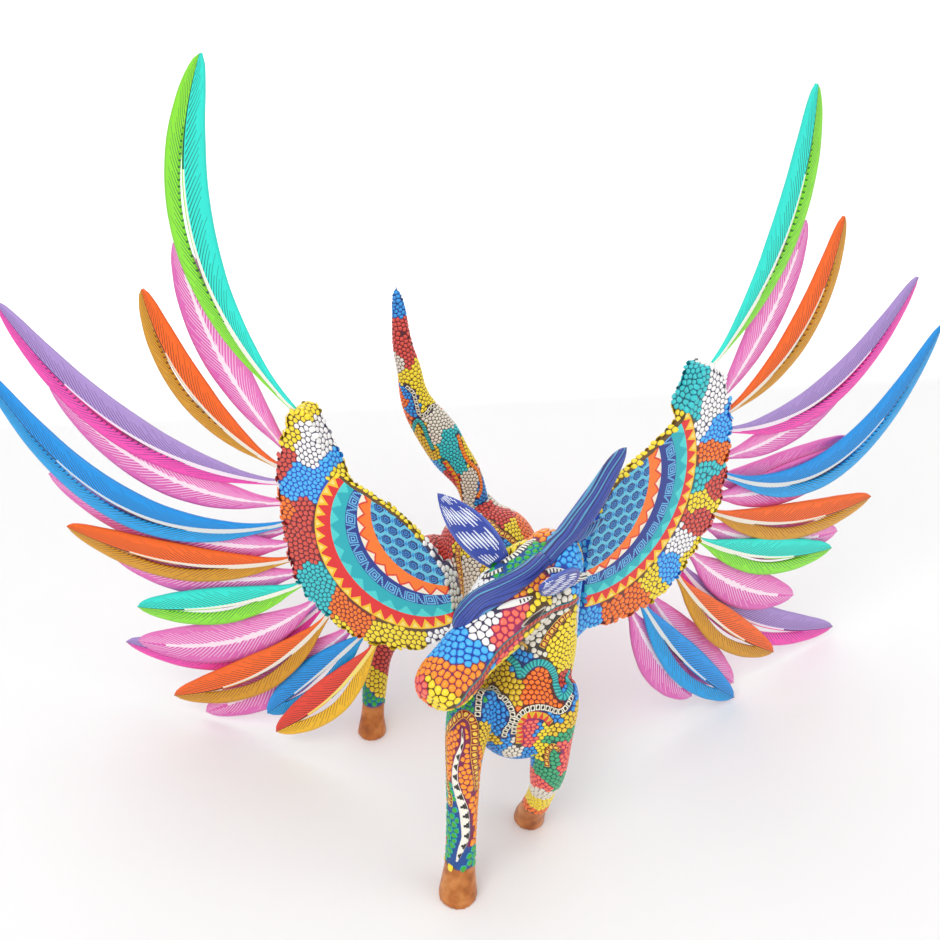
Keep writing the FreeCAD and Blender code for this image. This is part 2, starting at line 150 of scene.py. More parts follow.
# Where each colour sits on the horse, in millimetres.
PATCHES = {
    "sky": ((-49, -115, 189), (-53, -122, 185), (-42, -125, 184), (-58, -117, 185), (-36, -125, 182),
            (16, -74, 223), (23, -67, 224), (11, -79, 219), (20, -81, 216), (27, -74, 217), (15, -85, 213)),
    "white": ((-34, -112, 196), (-30, -109, 199), (-40, -115, 192), (-33, -121, 186), (-37, -119, 190),
              (-32, -85, 207), (-38, -87, 202), (-34, -90, 205), (-51, -97, 196)),
    "bone": ((0, -96, 176), (-4, -97, 170), (2, -100, 166), (7, -97, 186), (12, -95, 186), (-17, -113, 103),
             (-16, -114, 108), (-24, 28, 152), (-26, 18, 148), (-28, 34, 153), (1, -99, 53), (4, -107, 59),
             (4, 82, 176)),
    "coral": ((-19, -109, 199), (-24, -113, 195), (-17, -113, 192), (-12, -107, 200), (-22, -116, 190),
              (-26, -119, 185), (-74, -133, 169), (-5, -117, 124), (-5, -115, 115), (-4, -113, 106),
              (17, -114, 103), (18, -113, 92), (15, -114, 84), (-1, -103, 69), (5, -110, 68)),
    "orange": ((-60, -129, 182), (-66, -127, 179), (-51, -134, 180), (-42, -130, 178), (-61, -138, 176),
               (-53, -140, 174), (-46, -135, 176), (-70, -129, 176), (-13, -102, 207), (-19, -103, 205),
               (8, -62, 224), (13, -54, 223), (7, -84, 218), (1, -90, 215), (-6, -94, 213), (-12, -99, 210),
               (-52, -120, 126), (-46, -121, 130), (-54, -120, 119), (-45, -128, 113), (-49, -128, 106),
               (-46, -129, 100), (-45, -130, 90), (-46, -131, 80), (-43, -129, 70), (-41, -127, 54),
               (-42, -129, 48), (-56, -122, 107)),
    "ember": ((0, -104, 150), (-2, -105, 144), (5, -105, 141), (-9, -113, 138), (6, -110, 136),
              (-12, -115, 133), (12, -110, 131), (22, 57, 158), (4, -87, 23)),
    "red": ((18, -96, 138), (-39, 63, 154), (2, 57, 171), (-2, 65, 173), (3, 51, 169), (-85, 55, 61),
            (-88, 52, 54), (-85, 54, 47), (-40, 50, 140)),
    "yellow": ((-69, -138, 172), (-66, -140, 166), (-61, -141, 158), (-55, -143, 165), (-70, -135, 172),
               (-2, -102, 202), (-7, -108, 195), (-13, -72, 217), (-18, -66, 211), (-7, -68, 220),
               (2, -112, 101), (1, -110, 96), (3, -115, 112), (14, -96, 172), (10, -99, 164),
               (18, -96, 163), (22, -90, 177),
               (16, -99, 153), (5, -101, 160), (23, -92, 151), (4, -116, 120), (-26, 37, 157), (6, 48, 167),
               (2, -109, 94), (-61, -126, 24), (-57, -135, 20), (-50, -138, 19), (-42, -132, 20),
               (2, -90, 35), (5, -99, 45), (-93, 48, 46), (-90, 46, 39)),
    "mustard": ((-23, -94, 148), (-19, -95, 154), (-18, -102, 145), (-15, -107, 142), (-27, -93, 143),
                (-14, -111, 140), (-36, -122, 124), (-29, -112, 111), (-33, -119, 118), (18, -113, 123),
              (21, -112, 115), (14, -114, 117), (10, -114, 113), (24, -108, 120)),
    "blue": ((-10, -99, 159), (-4, -101, 159), (-10, -101, 152), (25, -103, 133), (22, -109, 129),
             (-27, -113, 136), (-32, -118, 132), (-23, -114, 129), (-27, -113, 121), (-29, -108, 102),
             (9, -114, 124), (6, -115, 126), (-1, -117, 123), (0, -115, 114), (-2, -111, 97), (-1, -104, 84),
             (23, -101, 136), (-19, -115, 116), (-21, -114, 107), (-5, 39, 165)),
    "green": ((-44, -116, 139), (-55, -111, 128), (-1, -76, 221), (-10, -82, 219), (-22, -86, 214),
              (-56, -127, 76),
              (-55, -129, 70), (-56, -128, 63), (-53, -131, 59), (-56, -131, 51), (-56, -132, 44),
              (-58, -131, 35),
              (-45, -134, 38), (-49, -136, 30), (-42, -131, 29), (-99, 41, 30), (-93, 38, 26),
              (-100, 37, 24)),
    "jade": ((14, -115, 109), (8, -114, 107), (19, -113, 110), (11, -115, 99), (10, -115, 90), (5, -113, 83),
             (8, -114, 80), (1, -110, 82), (14, -112, 72)),
}
PLAIN_TURNS = ("ember", "blue", "yellow", "red", "teal", "bone", "mustard", "jade", "sky", "coral")


class Patchwork:
    """Which pot of paint covers each place on a carved skin."""

    def __init__(self, patches, skin_points, apart, seed):
        self.places = [Vector(p) for spots in patches.values() for p in spots]
        self.pots = [pot for pot, spots in patches.items() for _ in spots]
        dice = np.random.default_rng(seed)
        turn = 0
        for index in dice.permutation(len(skin_points))[:1500]:
            spot = Vector(skin_points[index])
            if min((spot - place).length for place in self.places) > apart:
                self.places.append(spot)
                self.pots.append(PLAIN_TURNS[turn % len(PLAIN_TURNS)])
                turn += 1
        self.tree = kdtree.KDTree(len(self.places))
        for number, place in enumerate(self.places):
            self.tree.insert(place, number)
        self.tree.balance()

    def pot_at(self, spot):
        """The pot for a place in millimetres, with hand-drawn wavy borders."""
        x, y, z = spot
        sway = Vector((math.sin(z / 5.3 + x / 9), math.sin(x / 6.1 + z / 8), math.sin(y / 5.7 + x / 7)))
        return self.pots[self.tree.find(Vector(spot) + sway * 1.6)[1]]


def colour_layer(mesh, name, colours):
    layer = mesh.attributes.new(name, "FLOAT_COLOR", "POINT")
    layer.data.foreach_set("color", np.array(colours, np.float32).ravel())


def number_layer(mesh, name, values):
    layer = mesh.attributes.new(name, "FLOAT", "POINT")
    layer.data.foreach_set("value", np.array(values, np.float32).ravel())


def vector_layer(mesh, name, values):
    layer = mesh.attributes.new(name, "FLOAT_VECTOR", "POINT")
    layer.data.foreach_set("vector", np.array(values, np.float32).ravel())


class Recipe:
    """A node tree and the one way nodes are put in it."""

    def __init__(self, tree):
        self.tree = tree

    def add(self, kind, settings=None, sockets=None):
        node = self.tree.nodes.new(kind)
        for key, value in (settings or {}).items():
            if key == "stops":
                ramp = node.color_ramp.elements
                while len(ramp) < len(value):
                    ramp.new(0.5)
                for stop, (place, colour) in zip(ramp, value):
                    stop.position = place
                    stop.color = colour
            else:
                setattr(node, key, value)
        for key, value in (sockets or {}).items():
            if isinstance(value, Wire):
                self.tree.links.new(value.socket, node.inputs[key])
            else:
                node.inputs[key].default_value = value
        return node

    def wire(self, kind, settings=None, sockets=None, output=0):
        return Wire(self, self.add(kind, settings, sockets).outputs[output])

    def maths(self, operation, *values):
        return self.wire("ShaderNodeMath", {"operation": operation}, dict(enumerate(values)))

    def blend(self, share, first, second):
        """A colour that goes from the first to the second."""
        return self.wire("ShaderNodeMix", {"data_type": "RGBA"}, {0: share, 6: first, 7: second}, output=2)

    def split(self, vector):
        node = self.add("ShaderNodeSeparateXYZ", None, {0: vector})
        return [Wire(self, node.outputs[axis]) for axis in range(3)]


class Wire:
    """A socket that adds, multiplies and compares as a number does."""

    def __init__(self, recipe, socket):
        self.recipe = recipe
        self.socket = socket

    def __add__(self, other):
        return self.recipe.maths("ADD", self, other)

    def __radd__(self, other):
        return self.recipe.maths("ADD", other, self)

    def __sub__(self, other):
        return self.recipe.maths("SUBTRACT", self, other)

    def __rsub__(self, other):
        return self.recipe.maths("SUBTRACT", other, self)

    def __mul__(self, other):
        return self.recipe.maths("MULTIPLY", self, other)

    def __rmul__(self, other):
        return self.recipe.maths("MULTIPLY", other, self)

    def __truediv__(self, other):
        return self.recipe.maths("DIVIDE", self, other)

    def __pow__(self, other):
        return self.recipe.maths("POWER", self, other)

    def __lt__(self, other):
        return self.recipe.maths("LESS_THAN", self, other)

    def __gt__(self, other):
        return self.recipe.maths("GREATER_THAN", self, other)

    def __abs__(self):
        return self.recipe.maths("ABSOLUTE", self)

    def part(self):
        """What is left after the whole number, from 0 to 1."""
        return self.recipe.maths("FRACT", self)

    def whole(self):
        return self.recipe.maths("FLOOR", self)

    def top(self, other):
        return self.recipe.maths("MAXIMUM", self, other)

    def low(self, other):
        return self.recipe.maths("MINIMUM", self, other)


def finish(name, **fixed):
    """A paint or varnish: its recipe and its shader, with the even values set."""
    material = bpy.data.materials.new(name)
    material.use_nodes = True
    recipe = Recipe(material.node_tree)
    shader = material.node_tree.nodes["Principled BSDF"]
    for socket, value in fixed.items():
        shader.inputs[socket.replace("_", " ")].default_value = value
    return material, recipe, shader


def object_point(recipe):
    return recipe.wire("ShaderNodeTexCoord", output=3)


def grain_noise(recipe, scale, detail=2.0):
    return recipe.wire("ShaderNodeTexNoise", None,
                       {"Vector": object_point(recipe), "Scale": scale, "Detail": detail})


# The ground coat is brushed on, so it is a little uneven. The hooves are rubbed with copper
# paint over the same wood, which is the one place that shines like metal.
ground_coat, recipe, shader = finish("ground_coat", Coat_Weight=0.15, Coat_Roughness=0.3)
ground = recipe.wire("ShaderNodeAttribute", {"attribute_name": "ground"})
copper = recipe.wire("ShaderNodeAttribute", {"attribute_name": "copper"}, output=2)
patchy = grain_noise(recipe, 260.0, 4.0)
worn = recipe.blend(patchy * 0.5, ground, shade(30, 20, 24))
rubbed = recipe.wire("ShaderNodeValToRGB", {"stops": [(0.3, shade(150, 78, 34)), (0.5, shade(196, 116, 54)),
                                                        (0.7, shade(226, 152, 84))]},
                     {0: grain_noise(recipe, 90.0, 5.0)})
recipe.tree.links.new(recipe.blend(copper, worn, rubbed).socket, shader.inputs["Base Color"])
recipe.tree.links.new((copper * 0.55).socket, shader.inputs["Metallic"])
recipe.tree.links.new((0.5 - copper * 0.12 + patchy * 0.1).socket, shader.inputs["Roughness"])
bump = recipe.wire("ShaderNodeBump", None, {"Strength": 0.25, "Distance": 0.0006, "Height": patchy})
recipe.tree.links.new(bump.socket, shader.inputs["Normal"])

skin_points = corners_mm(horse)
patchwork = Patchwork(PATCHES, skin_points, 17.0, 11)
hoof_share = np.zeros(len(skin_points))
for leg, height in HOOF_TOP.items():
    low, high = [np.array(corner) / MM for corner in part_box(leg)]
    inside = np.all((skin_points > low - 3) & (skin_points < high + 3), axis=1)
    hoof_share[inside] = np.clip((height - skin_points[inside, 2]) / 1.2 + 0.5, 0, 1)
colour_layer(horse.data, "ground", [POTS[patchwork.pot_at(p)][2] for p in skin_points])
number_layer(horse.data, "copper", hoof_share)
horse.data.materials.append(ground_coat)
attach(horse, "figure")
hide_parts(*HORSE_BLOCKS, *HIDDEN_DOWELS)

# Painted bands --------------------------------------------------------------
# Narrow bands divide the patches: ladders, scallops and combed strokes laid on thickly with
# a fine brush over the ground coat. Each follows its own line over the carving.


class Surface:
    """A carved skin that bands and dots are laid on."""

    def __init__(self, piece):
        mesh = piece.data
        self.mesh = mesh
        self.tree = BVHTree.FromPolygons([v.co for v in mesh.vertices], [p.vertices for p in mesh.polygons])

    def touch(self, point):
        """Nearest place on the skin and its outward direction, in metres."""
        place, normal, face, _ = self.tree.find_nearest(point)
        return place, normal, face


def smooth_line(points, step):
    """Even steps along a smooth line through the points, in millimetres."""
    points = [Vector(p) for p in points]
    points = [points[0] * 2 - points[1]] + points + [points[-1] * 2 - points[-2]]
    fine = []
    for a, b, c, d in zip(points, points[1:], points[2:], points[3:]):
        pieces = max(2, int((c - b).length / step))
        for k in range(pieces):
            t = k / pieces
            fine.append(0.5 * (2 * b + (c - a) * t + (2 * a - 5 * b + 4 * c - d) * t * t
                               + (3 * b - a - 3 * c + d) * t ** 3))
    fine.append(points[-2])
    return fine


BAND_PROFILE = ((-1.0, -0.35), (-0.92, 0.30), (-0.5, 0.52), (0.0, 0.58), (0.5, 0.52), (0.92, 0.30),
                (1.0, -0.35))


def lay_bands(name, surface, bands, lift=1.0):
    """Ribbons of paint over a skin. A band is its line, half width at each end, and tapered or not."""
    corners, faces, places = [], [], []
    for line, half_start, half_end, tapered in bands:
        fine = smooth_line(line, 0.8)
        run = 0.0
        for k, point in enumerate(fine):
            share = k / (len(fine) - 1)
            run += (fine[k] - fine[k - 1]).length if k else 0.0
            spot, normal, _ = surface.touch(point * MM)
            ahead = (fine[min(k + 1, len(fine) - 1)] - fine[max(k - 1, 0)]).normalized()
            across = ahead.cross(normal).normalized()
            half = half_start + (half_end - half_start) * share
            if tapered:
                half *= max(0.04, math.sin(math.pi * share)) ** 0.55
            for side, height in BAND_PROFILE:
                edge, edge_normal, _ = surface.touch(spot + across * (side * half * MM))
                corners.append(edge + edge_normal * (height * lift * MM))
                places.append((run, side, share))
            if k:
                start = len(corners) - 2 * len(BAND_PROFILE)
                for j in range(len(BAND_PROFILE) - 1):
                    a = start + j
                    b = a + len(BAND_PROFILE)
                    faces.append((a, a + 1, b + 1, b))
    mesh = bpy.data.meshes.new(name)
    mesh.from_pydata([tuple(c) for c in corners], [], faces)
    vector_layer(mesh, "band", places)
    mesh.shade_smooth()
    return new_piece(name, mesh)


def band_finish(name, base, rung, mark, period, kind):
    """Ladder, scallop, comb or plain brush work along a band."""
    material, recipe, shader = finish(name, Roughness=0.4, Coat_Weight=0.3, Coat_Roughness=0.25)
    run, side, share = recipe.split(recipe.wire("ShaderNodeAttribute", {"attribute_name": "band"}, output=1))
    beat = (run / period).part()
    edge = abs(side) > 0.84
    if kind == "ladder":
        oval = ((beat - 0.56 + side * 0.12) / 0.26) ** 2 + (side / 0.56) ** 2
        painted = recipe.blend(oval < 1.0, base, mark)
        painted = recipe.blend((beat < 0.12).top(edge), painted, rung)
    elif kind == "scallop":
        painted = recipe.blend((side * 0.5 + 0.5) > abs(beat * 2 - 1), base, mark)
        painted = recipe.blend(edge, painted, rung)
    elif kind == "comb":
        wave = (beat + side * 0.18).part()
        painted = recipe.blend(wave < 0.3, base, rung)
        painted = recipe.blend(((wave > 0.55) * (wave < 0.7)), painted, mark)
    elif kind == "rope":
        lean = (beat + side * 0.30).part()
        painted = recipe.blend((lean < 0.5) * (abs(side) < 0.62), base, mark)
        painted = recipe.blend(abs(side) > 0.70, painted, rung)
    elif kind == "fringe":
        painted = recipe.blend((beat < 0.42) * (side > -0.5), base, rung)
    elif kind == "flash":
        marks = (beat < 0.4) * (share > 0.60) * (abs(side) < 0.55)
        painted = recipe.blend(marks, base, mark)
        painted = recipe.blend(abs(side) > 0.93, painted, rung)
    elif kind == "steps":
        ziggurat = (abs(beat * 2 - 1) * 4).whole() / 4
        painted = recipe.blend((side * 0.5 + 0.42) < (0.62 - ziggurat), base, mark)
        painted = recipe.blend(edge, painted, rung)
    else:
        lens = (share * 2 - 1) ** 2 + side ** 2
        painted = recipe.blend(lens < 0.74, base, mark)
        painted = recipe.blend(lens < 0.30, painted, rung)
    recipe.tree.links.new(painted.socket, shader.inputs["Base Color"])
    return material


BANDS = {
    "band_ladder_black": (band_finish("ladder_black", shade(240, 234, 214), shade(30, 26, 24),
                                      shade(24, 22, 22), 3.4,
                                      "ladder"), (
        (((-39, -120, 134), (-38, -116, 140), (-36, -112, 146), (-28, -100, 139), (-24, -108, 141),
          (-19, -113, 136),
          (-17, -116, 131), (-18, -117, 125), (-21, -116, 119), (-22, -115, 113)), 2.3, 2.0, False),
        (((-16, -115, 115), (-15, -117, 126), (-10, -117, 133), (-2, -115, 134), (5, -113, 131),
          (12, -112, 127),
          (17, -111, 129), (22, -105, 134)), 2.2, 2.0, False),
    )),
    "band_ladder_red": (band_finish("ladder_red", shade(150, 28, 20), shade(236, 190, 60),
                                    shade(244, 206, 70), 4.6,
                                    "ladder"), (
        (((3, -100, 167), (9, -97, 176), (16, -94, 183), (22, -90, 185)), 2.0, 2.4, False),
        (((-12, -111, 180), (-6, -98, 165)), 1.6, 1.2, True),
        (((-30, 45, 158), (-32, 40, 152), (-32, 32, 146), (-31, 23, 140), (-32, 13, 136), (-33, -8, 132)),
         2.6, 2.6, False),
        (((-14, 56, 171), (-7, 50, 170), (-2, 43, 167), (4, 40, 164), (14, 34, 158)), 2.6, 2.4, False),
        (((-57, -125, 72), (-57, -125, 79), (-58, -119, 91), (-58, -115, 104), (-57, -111, 115),
          (-53, -115, 129),
          (-47, -117, 135), (-42, -121, 132), (-41, -125, 123), (-42, -127, 112), (-41, -127, 98),
          (-40, -126, 84)),
         2.8, 2.6, False),
        (((6, -114, 86), (6, -113, 96), (9, -115, 103), (13, -112, 99)), 1.8, 1.6, False),
    )),
    "band_combed_teal": (band_finish("combed_teal", shade(24, 176, 174), shade(6, 108, 120),
                                     shade(80, 216, 206), 2.1,
                                     "comb"), (
        (((-21, -95, 160), (-16, -96, 158), (-12, -99, 155), (-10, -102, 149), (-7, -102, 153),
          (-2, -102, 157),
          (4, -102, 157), (9, -102, 152), (12, -101, 143), (13, -105, 137), (15, -108, 135), (19, -106, 135),
          (22, -98, 137), (23, -92, 142)), 2.3, 2.3, False),
    )),
    "band_scallop_red": (band_finish("scallop_red", shade(222, 180, 20), shade(214, 40, 24),
                                     shade(226, 40, 24), 4.2,
                                     "scallop"), (
        (((-12, -114, 106), (-12, -114, 112), (-13, -117, 122), (-10, -117, 129), (-4, -117, 130),
          (3, -116, 127),
          (7, -115, 121)), 2.6, 2.4, False),
    )),
    "band_jaw": (band_finish("jaw_strokes", shade(150, 34, 34), shade(18, 140, 146), shade(214, 84, 60),
                             3.2, "rope"), (
        (((-54, -141, 160), (-46, -138, 168), (-37, -129, 171), (-28, -122, 179), (-21, -117, 184),
          (-13, -112, 187),
          (-5, -107, 190), (1, -103, 191), (11, -95, 191), (21, -91, 191), (28, -83, 190)), 2.4, 1.8, False),
    )),
    "band_fringe": (band_finish("striped_fringe", shade(244, 240, 226), shade(26, 24, 26),
                                shade(244, 240, 226), 2.6,
                                "fringe"), (
        (((-18, -78, 215), (-11, -76, 220), (-4, -70, 222), (2, -62, 224)), 2.4, 2.4, False),
        (((-31, -80, 209), (-25, -83, 212), (-19, -84, 215)), 1.9, 1.9, False),
        (((6, -89, 214), (12, -87, 214), (20, -83, 208), (28, -80, 202)), 1.8, 1.8, False),
    )),
    "band_steps_leg": (band_finish("steps_on_white", shade(250, 246, 232), shade(250, 246, 232),
                                   shade(40, 34, 30), 7.4,
                                   "steps"), (
        (((-49, -122, 128), (-49, -125, 119), (-52, -126, 110), (-54, -127, 101), (-54, -128, 92),
          (-52, -130, 83),
          (-49, -131, 72), (-48, -132, 62), (-48, -133, 52), (-51, -134, 43), (-54, -135, 34)), 1.6, 4.4,
          True),
    )),
    "brow_flash": (band_finish("brow_white", shade(250, 248, 240), shade(60, 90, 160), shade(40, 34, 30), 2.4,
                               "flash"), (
        (((-26, -107, 202), (-22, -106, 203), (-16, -105, 204), (-10, -103, 204), (-4, -101, 205)), 2.2,
         2.2, True),
    )),
    "eye_left": (band_finish("painted_eye", shade(196, 190, 178), shade(10, 8, 10), shade(66, 38, 28), 3.0,
                             "lens"), (
        (((-12, -111, 191), (-7, -108, 192), (-1, -104, 194), (4, -100, 197)), 2.6, 2.6, True),
    )),
}
horse_surface = Surface(horse)
band_points = []
for name, (material, bands) in BANDS.items():
    piece = lay_bands(name, horse_surface, bands)
    piece.data.materials.append(material)
    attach(piece, "figure")
    for line, half_start, half_end, tapered in bands:
        fine = smooth_line(line, 1.0)
        for k, point in enumerate(fine):
            share = k / (len(fine) - 1)
            half = half_start + (half_end - half_start) * share
            band_points.append((horse_surface.touch(point * MM)[0], half))

# Dots of paint --------------------------------------------------------------
# Some thousands of drops, dropped evenly over the ground coat until they nearly meet. Each
# dries to a low dome a few millimetres across with the dark ground showing between.

drop_finish, recipe, shader = finish("drop_paint", Roughness=0.32, Coat_Weight=0.35, Coat_Roughness=0.2)
paint = recipe.wire("ShaderNodeAttribute", {"attribute_name": "paint"})
heart = recipe.wire("ShaderNodeAttribute", {"attribute_name": "heart"})
crown = recipe.wire("ShaderNodeAttribute", {"attribute_name": "crown"}, output=2)
soft = recipe.wire("ShaderNodeMapRange", {"interpolation_type": "SMOOTHSTEP"}, {0: crown, 1: 0.4, 2: 0.9})
# The top of each dome takes the lighter colour. For most pots this is a painted highlight; for green it is a
# real second paint colour.
recipe.tree.links.new(recipe.blend(soft, paint, heart).socket, shader.inputs["Base Color"])

drop_tree = bpy.data.node_groups.new("swollen_drops", "GeometryNodeTree")
drop_tree.interface.new_socket("Geometry", in_out="INPUT", socket_type="NodeSocketGeometry")
drop_tree.interface.new_socket("Rise", in_out="INPUT", socket_type="NodeSocketFloat")
drop_tree.interface.new_socket("Crown", in_out="INPUT", socket_type="NodeSocketFloat")
drop_tree.interface.new_socket("Geometry", in_out="OUTPUT", socket_type="NodeSocketGeometry")
recipe = Recipe(drop_tree)
given = recipe.add("NodeGroupInput")
raised = recipe.add("GeometryNodeExtrudeMesh", {"mode": "FACES"},
                    {"Mesh": Wire(recipe, given.outputs["Geometry"]),
                     "Offset Scale": Wire(recipe, given.outputs["Rise"]), "Individual": True})
top = Wire(recipe, raised.outputs["Top"])
drawn_in = recipe.wire("GeometryNodeScaleElements", {"domain": "FACE"},
                       {"Geometry": Wire(recipe, raised.outputs["Mesh"]), "Selection": top,
                        "Scale": Wire(recipe, given.outputs["Crown"])})
marked = recipe.wire("GeometryNodeStoreNamedAttribute", {"data_type": "FLOAT", "domain": "POINT"},
                     {"Geometry": drawn_in, "Name": "crown", "Value": top})
real = recipe.wire("GeometryNodeRealizeInstances", None, {0: marked})
smoothed = recipe.wire("GeometryNodeSetShadeSmooth", None, {0: real})
coloured = recipe.wire("GeometryNodeSetMaterial", None, {"Geometry": smoothed, "Material": drop_finish})
recipe.add("NodeGroupOutput", None, {0: coloured})


def run_tree(piece, tree, **inputs):
    """Runs a node tree on the piece with its named inputs and keeps the plain mesh."""
    modifier = piece.modifiers.new("maker", "NODES")
    modifier.node_group = tree
    for socket in tree.interface.items_tree:
        if socket.in_out == "INPUT" and socket.name.replace(" ", "_") in inputs:
            modifier[socket.identifier] = inputs[socket.name.replace(" ", "_")]
    return settled(piece)


def spread(surface, reach, seed, rounds=22):
    """Places set evenly over a skin. reach is the spacing wanted at each face, or 0 for none."""
    mesh = surface.mesh
    areas = np.empty(len(mesh.polygons))
    mesh.polygons.foreach_get("area", areas)
    centres = np.empty(len(mesh.polygons) * 3)
    mesh.polygons.foreach_get("center", centres)
    centres = centres.reshape(-1, 3)
    share = np.where(reach > 0, areas / (0.86 * np.maximum(reach, 0.1) ** 2 * MM * MM), 0)
    dice = np.random.default_rng(seed)
    picks = dice.choice(len(areas), size=int(share.sum()), p=share / share.sum())
    found = [surface.touch(Vector(centres[i] + dice.normal(0, 0.0004, 3))) for i in picks]
    for turn in range(rounds):
        near = kdtree.KDTree(len(found))
        for k, (spot, _, _) in enumerate(found):
            near.insert(spot, k)
        near.balance()
        moved = []
        for spot, _, face in found:
            wide = max(reach[face], 2.0) * 1.12 * MM
            push = Vector()
            for other, _, gap in near.find_n(spot, 8):
                if 1e-7 < gap < wide:
                    push += (spot - other) * ((wide - gap) / gap)
            moved.append(spot + push * (0.36 if turn < rounds - 5 else 0.18))
        found = [surface.touch(spot) for spot in moved]
    return found


def drop_outline(wide, cuts):
    """The edge of one drop in its own plane: a round blob flattened where it meets its neighbours."""
    edge = [(wide * math.cos(math.pi * k / 4), wide * math.sin(math.pi * k / 4)) for k in range(8)]
    for along_x, along_y, far in cuts:
        kept = []
        for (ax, ay), (bx, by) in zip(edge, edge[1:] + edge[:1]):
            over_a = ax * along_x + ay * along_y - far
            over_b = bx * along_x + by * along_y - far
            if over_a <= 0:
                kept.append((ax, ay))
            if (over_a < 0) != (over_b < 0):
                share = over_a / (over_a - over_b)
                kept.append((ax + (bx - ax) * share, ay + (by - ay) * share))
        edge = kept
        if len(edge) < 3:
            return []
    rounded = []
    for (ax, ay), (bx, by) in zip(edge, edge[1:] + edge[:1]):
        if math.hypot(bx - ax, by - ay) > 0.12 * wide:
            rounded += [(ax * 0.76 + bx * 0.24, ay * 0.76 + by * 0.24),
                        (ax * 0.24 + bx * 0.76, ay * 0.24 + by * 0.76)]
    return rounded


def drop_rows(name, found, reach, fence, pot_of, body, rise):
    """Drops of paint over a skin, each grown until it meets its neighbours or a fence such as a band."""
    near = kdtree.KDTree(len(found))
    for k, (spot, _, _) in enumerate(found):
        near.insert(spot, k)
    near.balance()
    corners, faces, dots, hearts_and_highlights = [], [], [], []
    for spot, facing, face in found:
        if reach[face] <= 0:
            continue
        wide = reach[face] * MM
        sideways = facing.orthogonal().normalized()
        upward = facing.cross(sideways)
        cuts = []
        for other, _, gap in near.find_n(spot, 10):
            if 1e-7 < gap < wide * 1.9:
                flat = ((other - spot).dot(sideways), (other - spot).dot(upward))
                span = math.hypot(*flat)
                if span > 1e-7:
                    cuts.append((flat[0] / span, flat[1] / span, gap * gap / (2 * span) - 0.05 * wide))
        hedge, clearance = fence(spot)
        if hedge:
            flat = ((hedge - spot).dot(sideways), (hedge - spot).dot(upward))
            span = math.hypot(*flat)
            if span < clearance + 0.12 * wide:
                continue
            cuts.append((flat[0] / span, flat[1] / span, span - clearance - 0.04 * wide))
        edge = drop_outline(wide * 0.66, cuts)
        if len(edge) < 5:
            continue
        pot = POTS[pot_of(spot / MM)]
        faces.append(range(len(corners), len(corners) + len(edge)))
        for x, y in edge:
            corners.append(tuple(spot + sideways * x + upward * y - facing * 0.0001))
            dots.append(pot[0])
            hearts_and_highlights.append(pot[1])
    mesh = bpy.data.meshes.new(name)
    mesh.from_pydata(corners, [], faces)
    colour_layer(mesh, "paint", dots)
    colour_layer(mesh, "heart", hearts_and_highlights)
    piece = run_tree(new_piece(name, mesh), drop_tree, Rise=rise * MM, Crown=0.74)
    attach(piece, body)
    return piece


def fence_of(lines, far=6.0):
    """The nearest place on painted bands given as place and half width."""
    tree = kdtree.KDTree(len(lines))
    for k, (place, _) in enumerate(lines):
        tree.insert(place, k)
    tree.balance()

    def nearest(spot):
        place, k, gap = tree.find(spot)
        return (place, lines[k][1] * MM) if gap < far * MM else (None, 0.0)

    return nearest


SPACING = {"body": 3.6, "head": 4.8, "leg_front_right": 5.2, "leg_front_left": 3.3, "leg_hind_right": 3.8,
           "leg_hind_left": 3.8}
centres = np.empty(len(horse.data.polygons) * 3)
horse.data.polygons.foreach_get("center", centres)
centres = centres.reshape(-1, 3) / MM
block_of = nearest_block(centres, HORSE_BLOCKS)
reach = np.array([SPACING[HORSE_BLOCKS[b]] for b in block_of])
for leg, height in HOOF_TOP.items():
    reach[(block_of == HORSE_BLOCKS.index(leg)) & (centres[:, 2] < height)] = 0
found = spread(horse_surface, reach, 5)
band_fence = fence_of(band_points)
for number, block in enumerate(HORSE_BLOCKS):
    own = np.where(block_of == number, reach, 0)
    drop_rows("dots_" + block, found, own, band_fence, patchwork.pot_at, "figure",
              0.8 if block in ("head", "leg_front_right") else 0.6)

# Tail -----------------------------------------------------------------------
# One S-shaped carving with its own peg, painted in finer dots. It pulls out of the rump.

TAIL_PATCHES = {
    "blue": ((-66, 74, 325), (-67, 77, 338), (-62, 70, 262), (-59, 70, 253), (-8, 72, 176), (-7, 74, 186)),
    "red": ((-64, 72, 301), (-60, 73, 294), (-66, 73, 312), (-60, 71, 287), (-34, 69, 196)),
    "yellow": ((-60, 71, 279), (-54, 71, 269), (-51, 71, 260), (-52, 69, 254), (-56, 73, 284), (-18, 74, 212),
               (-22, 73, 219)),
    "bone": ((-18, 69, 198), (-20, 70, 184), (-42, 69, 241), (-45, 70, 249), (-36, 72, 243), (-45, 68, 231),
             (-68, 74, 285)),
    "mustard": ((-55, 70, 236), (-49, 71, 221)),
    "teal": ((-33, 70, 233), (-37, 68, 224), (-30, 69, 223), (-27, 69, 214), (-35, 68, 216)),
    "ember": ((-63, 74, 245), (-66, 74, 259)),
}
TAIL_BANDS = (
    ("tail_ladder", "ladder_black", (((-64, 71, 271), (-59, 70, 266), (-57, 69, 258), (-55, 69, 250),
                                      (-51, 69, 250),
                                      (-47, 71, 254), (-44, 74, 254)), 1.5, 1.5, False)),
    ("tail_comb", "combed_teal", (((-59, 75, 235), (-57, 70, 245), (-53, 69, 242), (-50, 69, 233),
                                   (-46, 69, 222)),
                                  1.4, 1.4, False)),
    ("tail_scallop", "scallop_red", (((-38, 69, 213), (-30, 70, 199), (-27, 73, 187), (-25, 77, 174)), 1.9,
                                     1.9, False)),
)
tail = carved("tail_skin", ["tail"], 1.1, 4)
tail_points = corners_mm(tail)
tail_work = Patchwork(TAIL_PATCHES, tail_points, 15.0, 3)
colour_layer(tail.data, "ground", [POTS[tail_work.pot_at(p)][2] for p in tail_points])
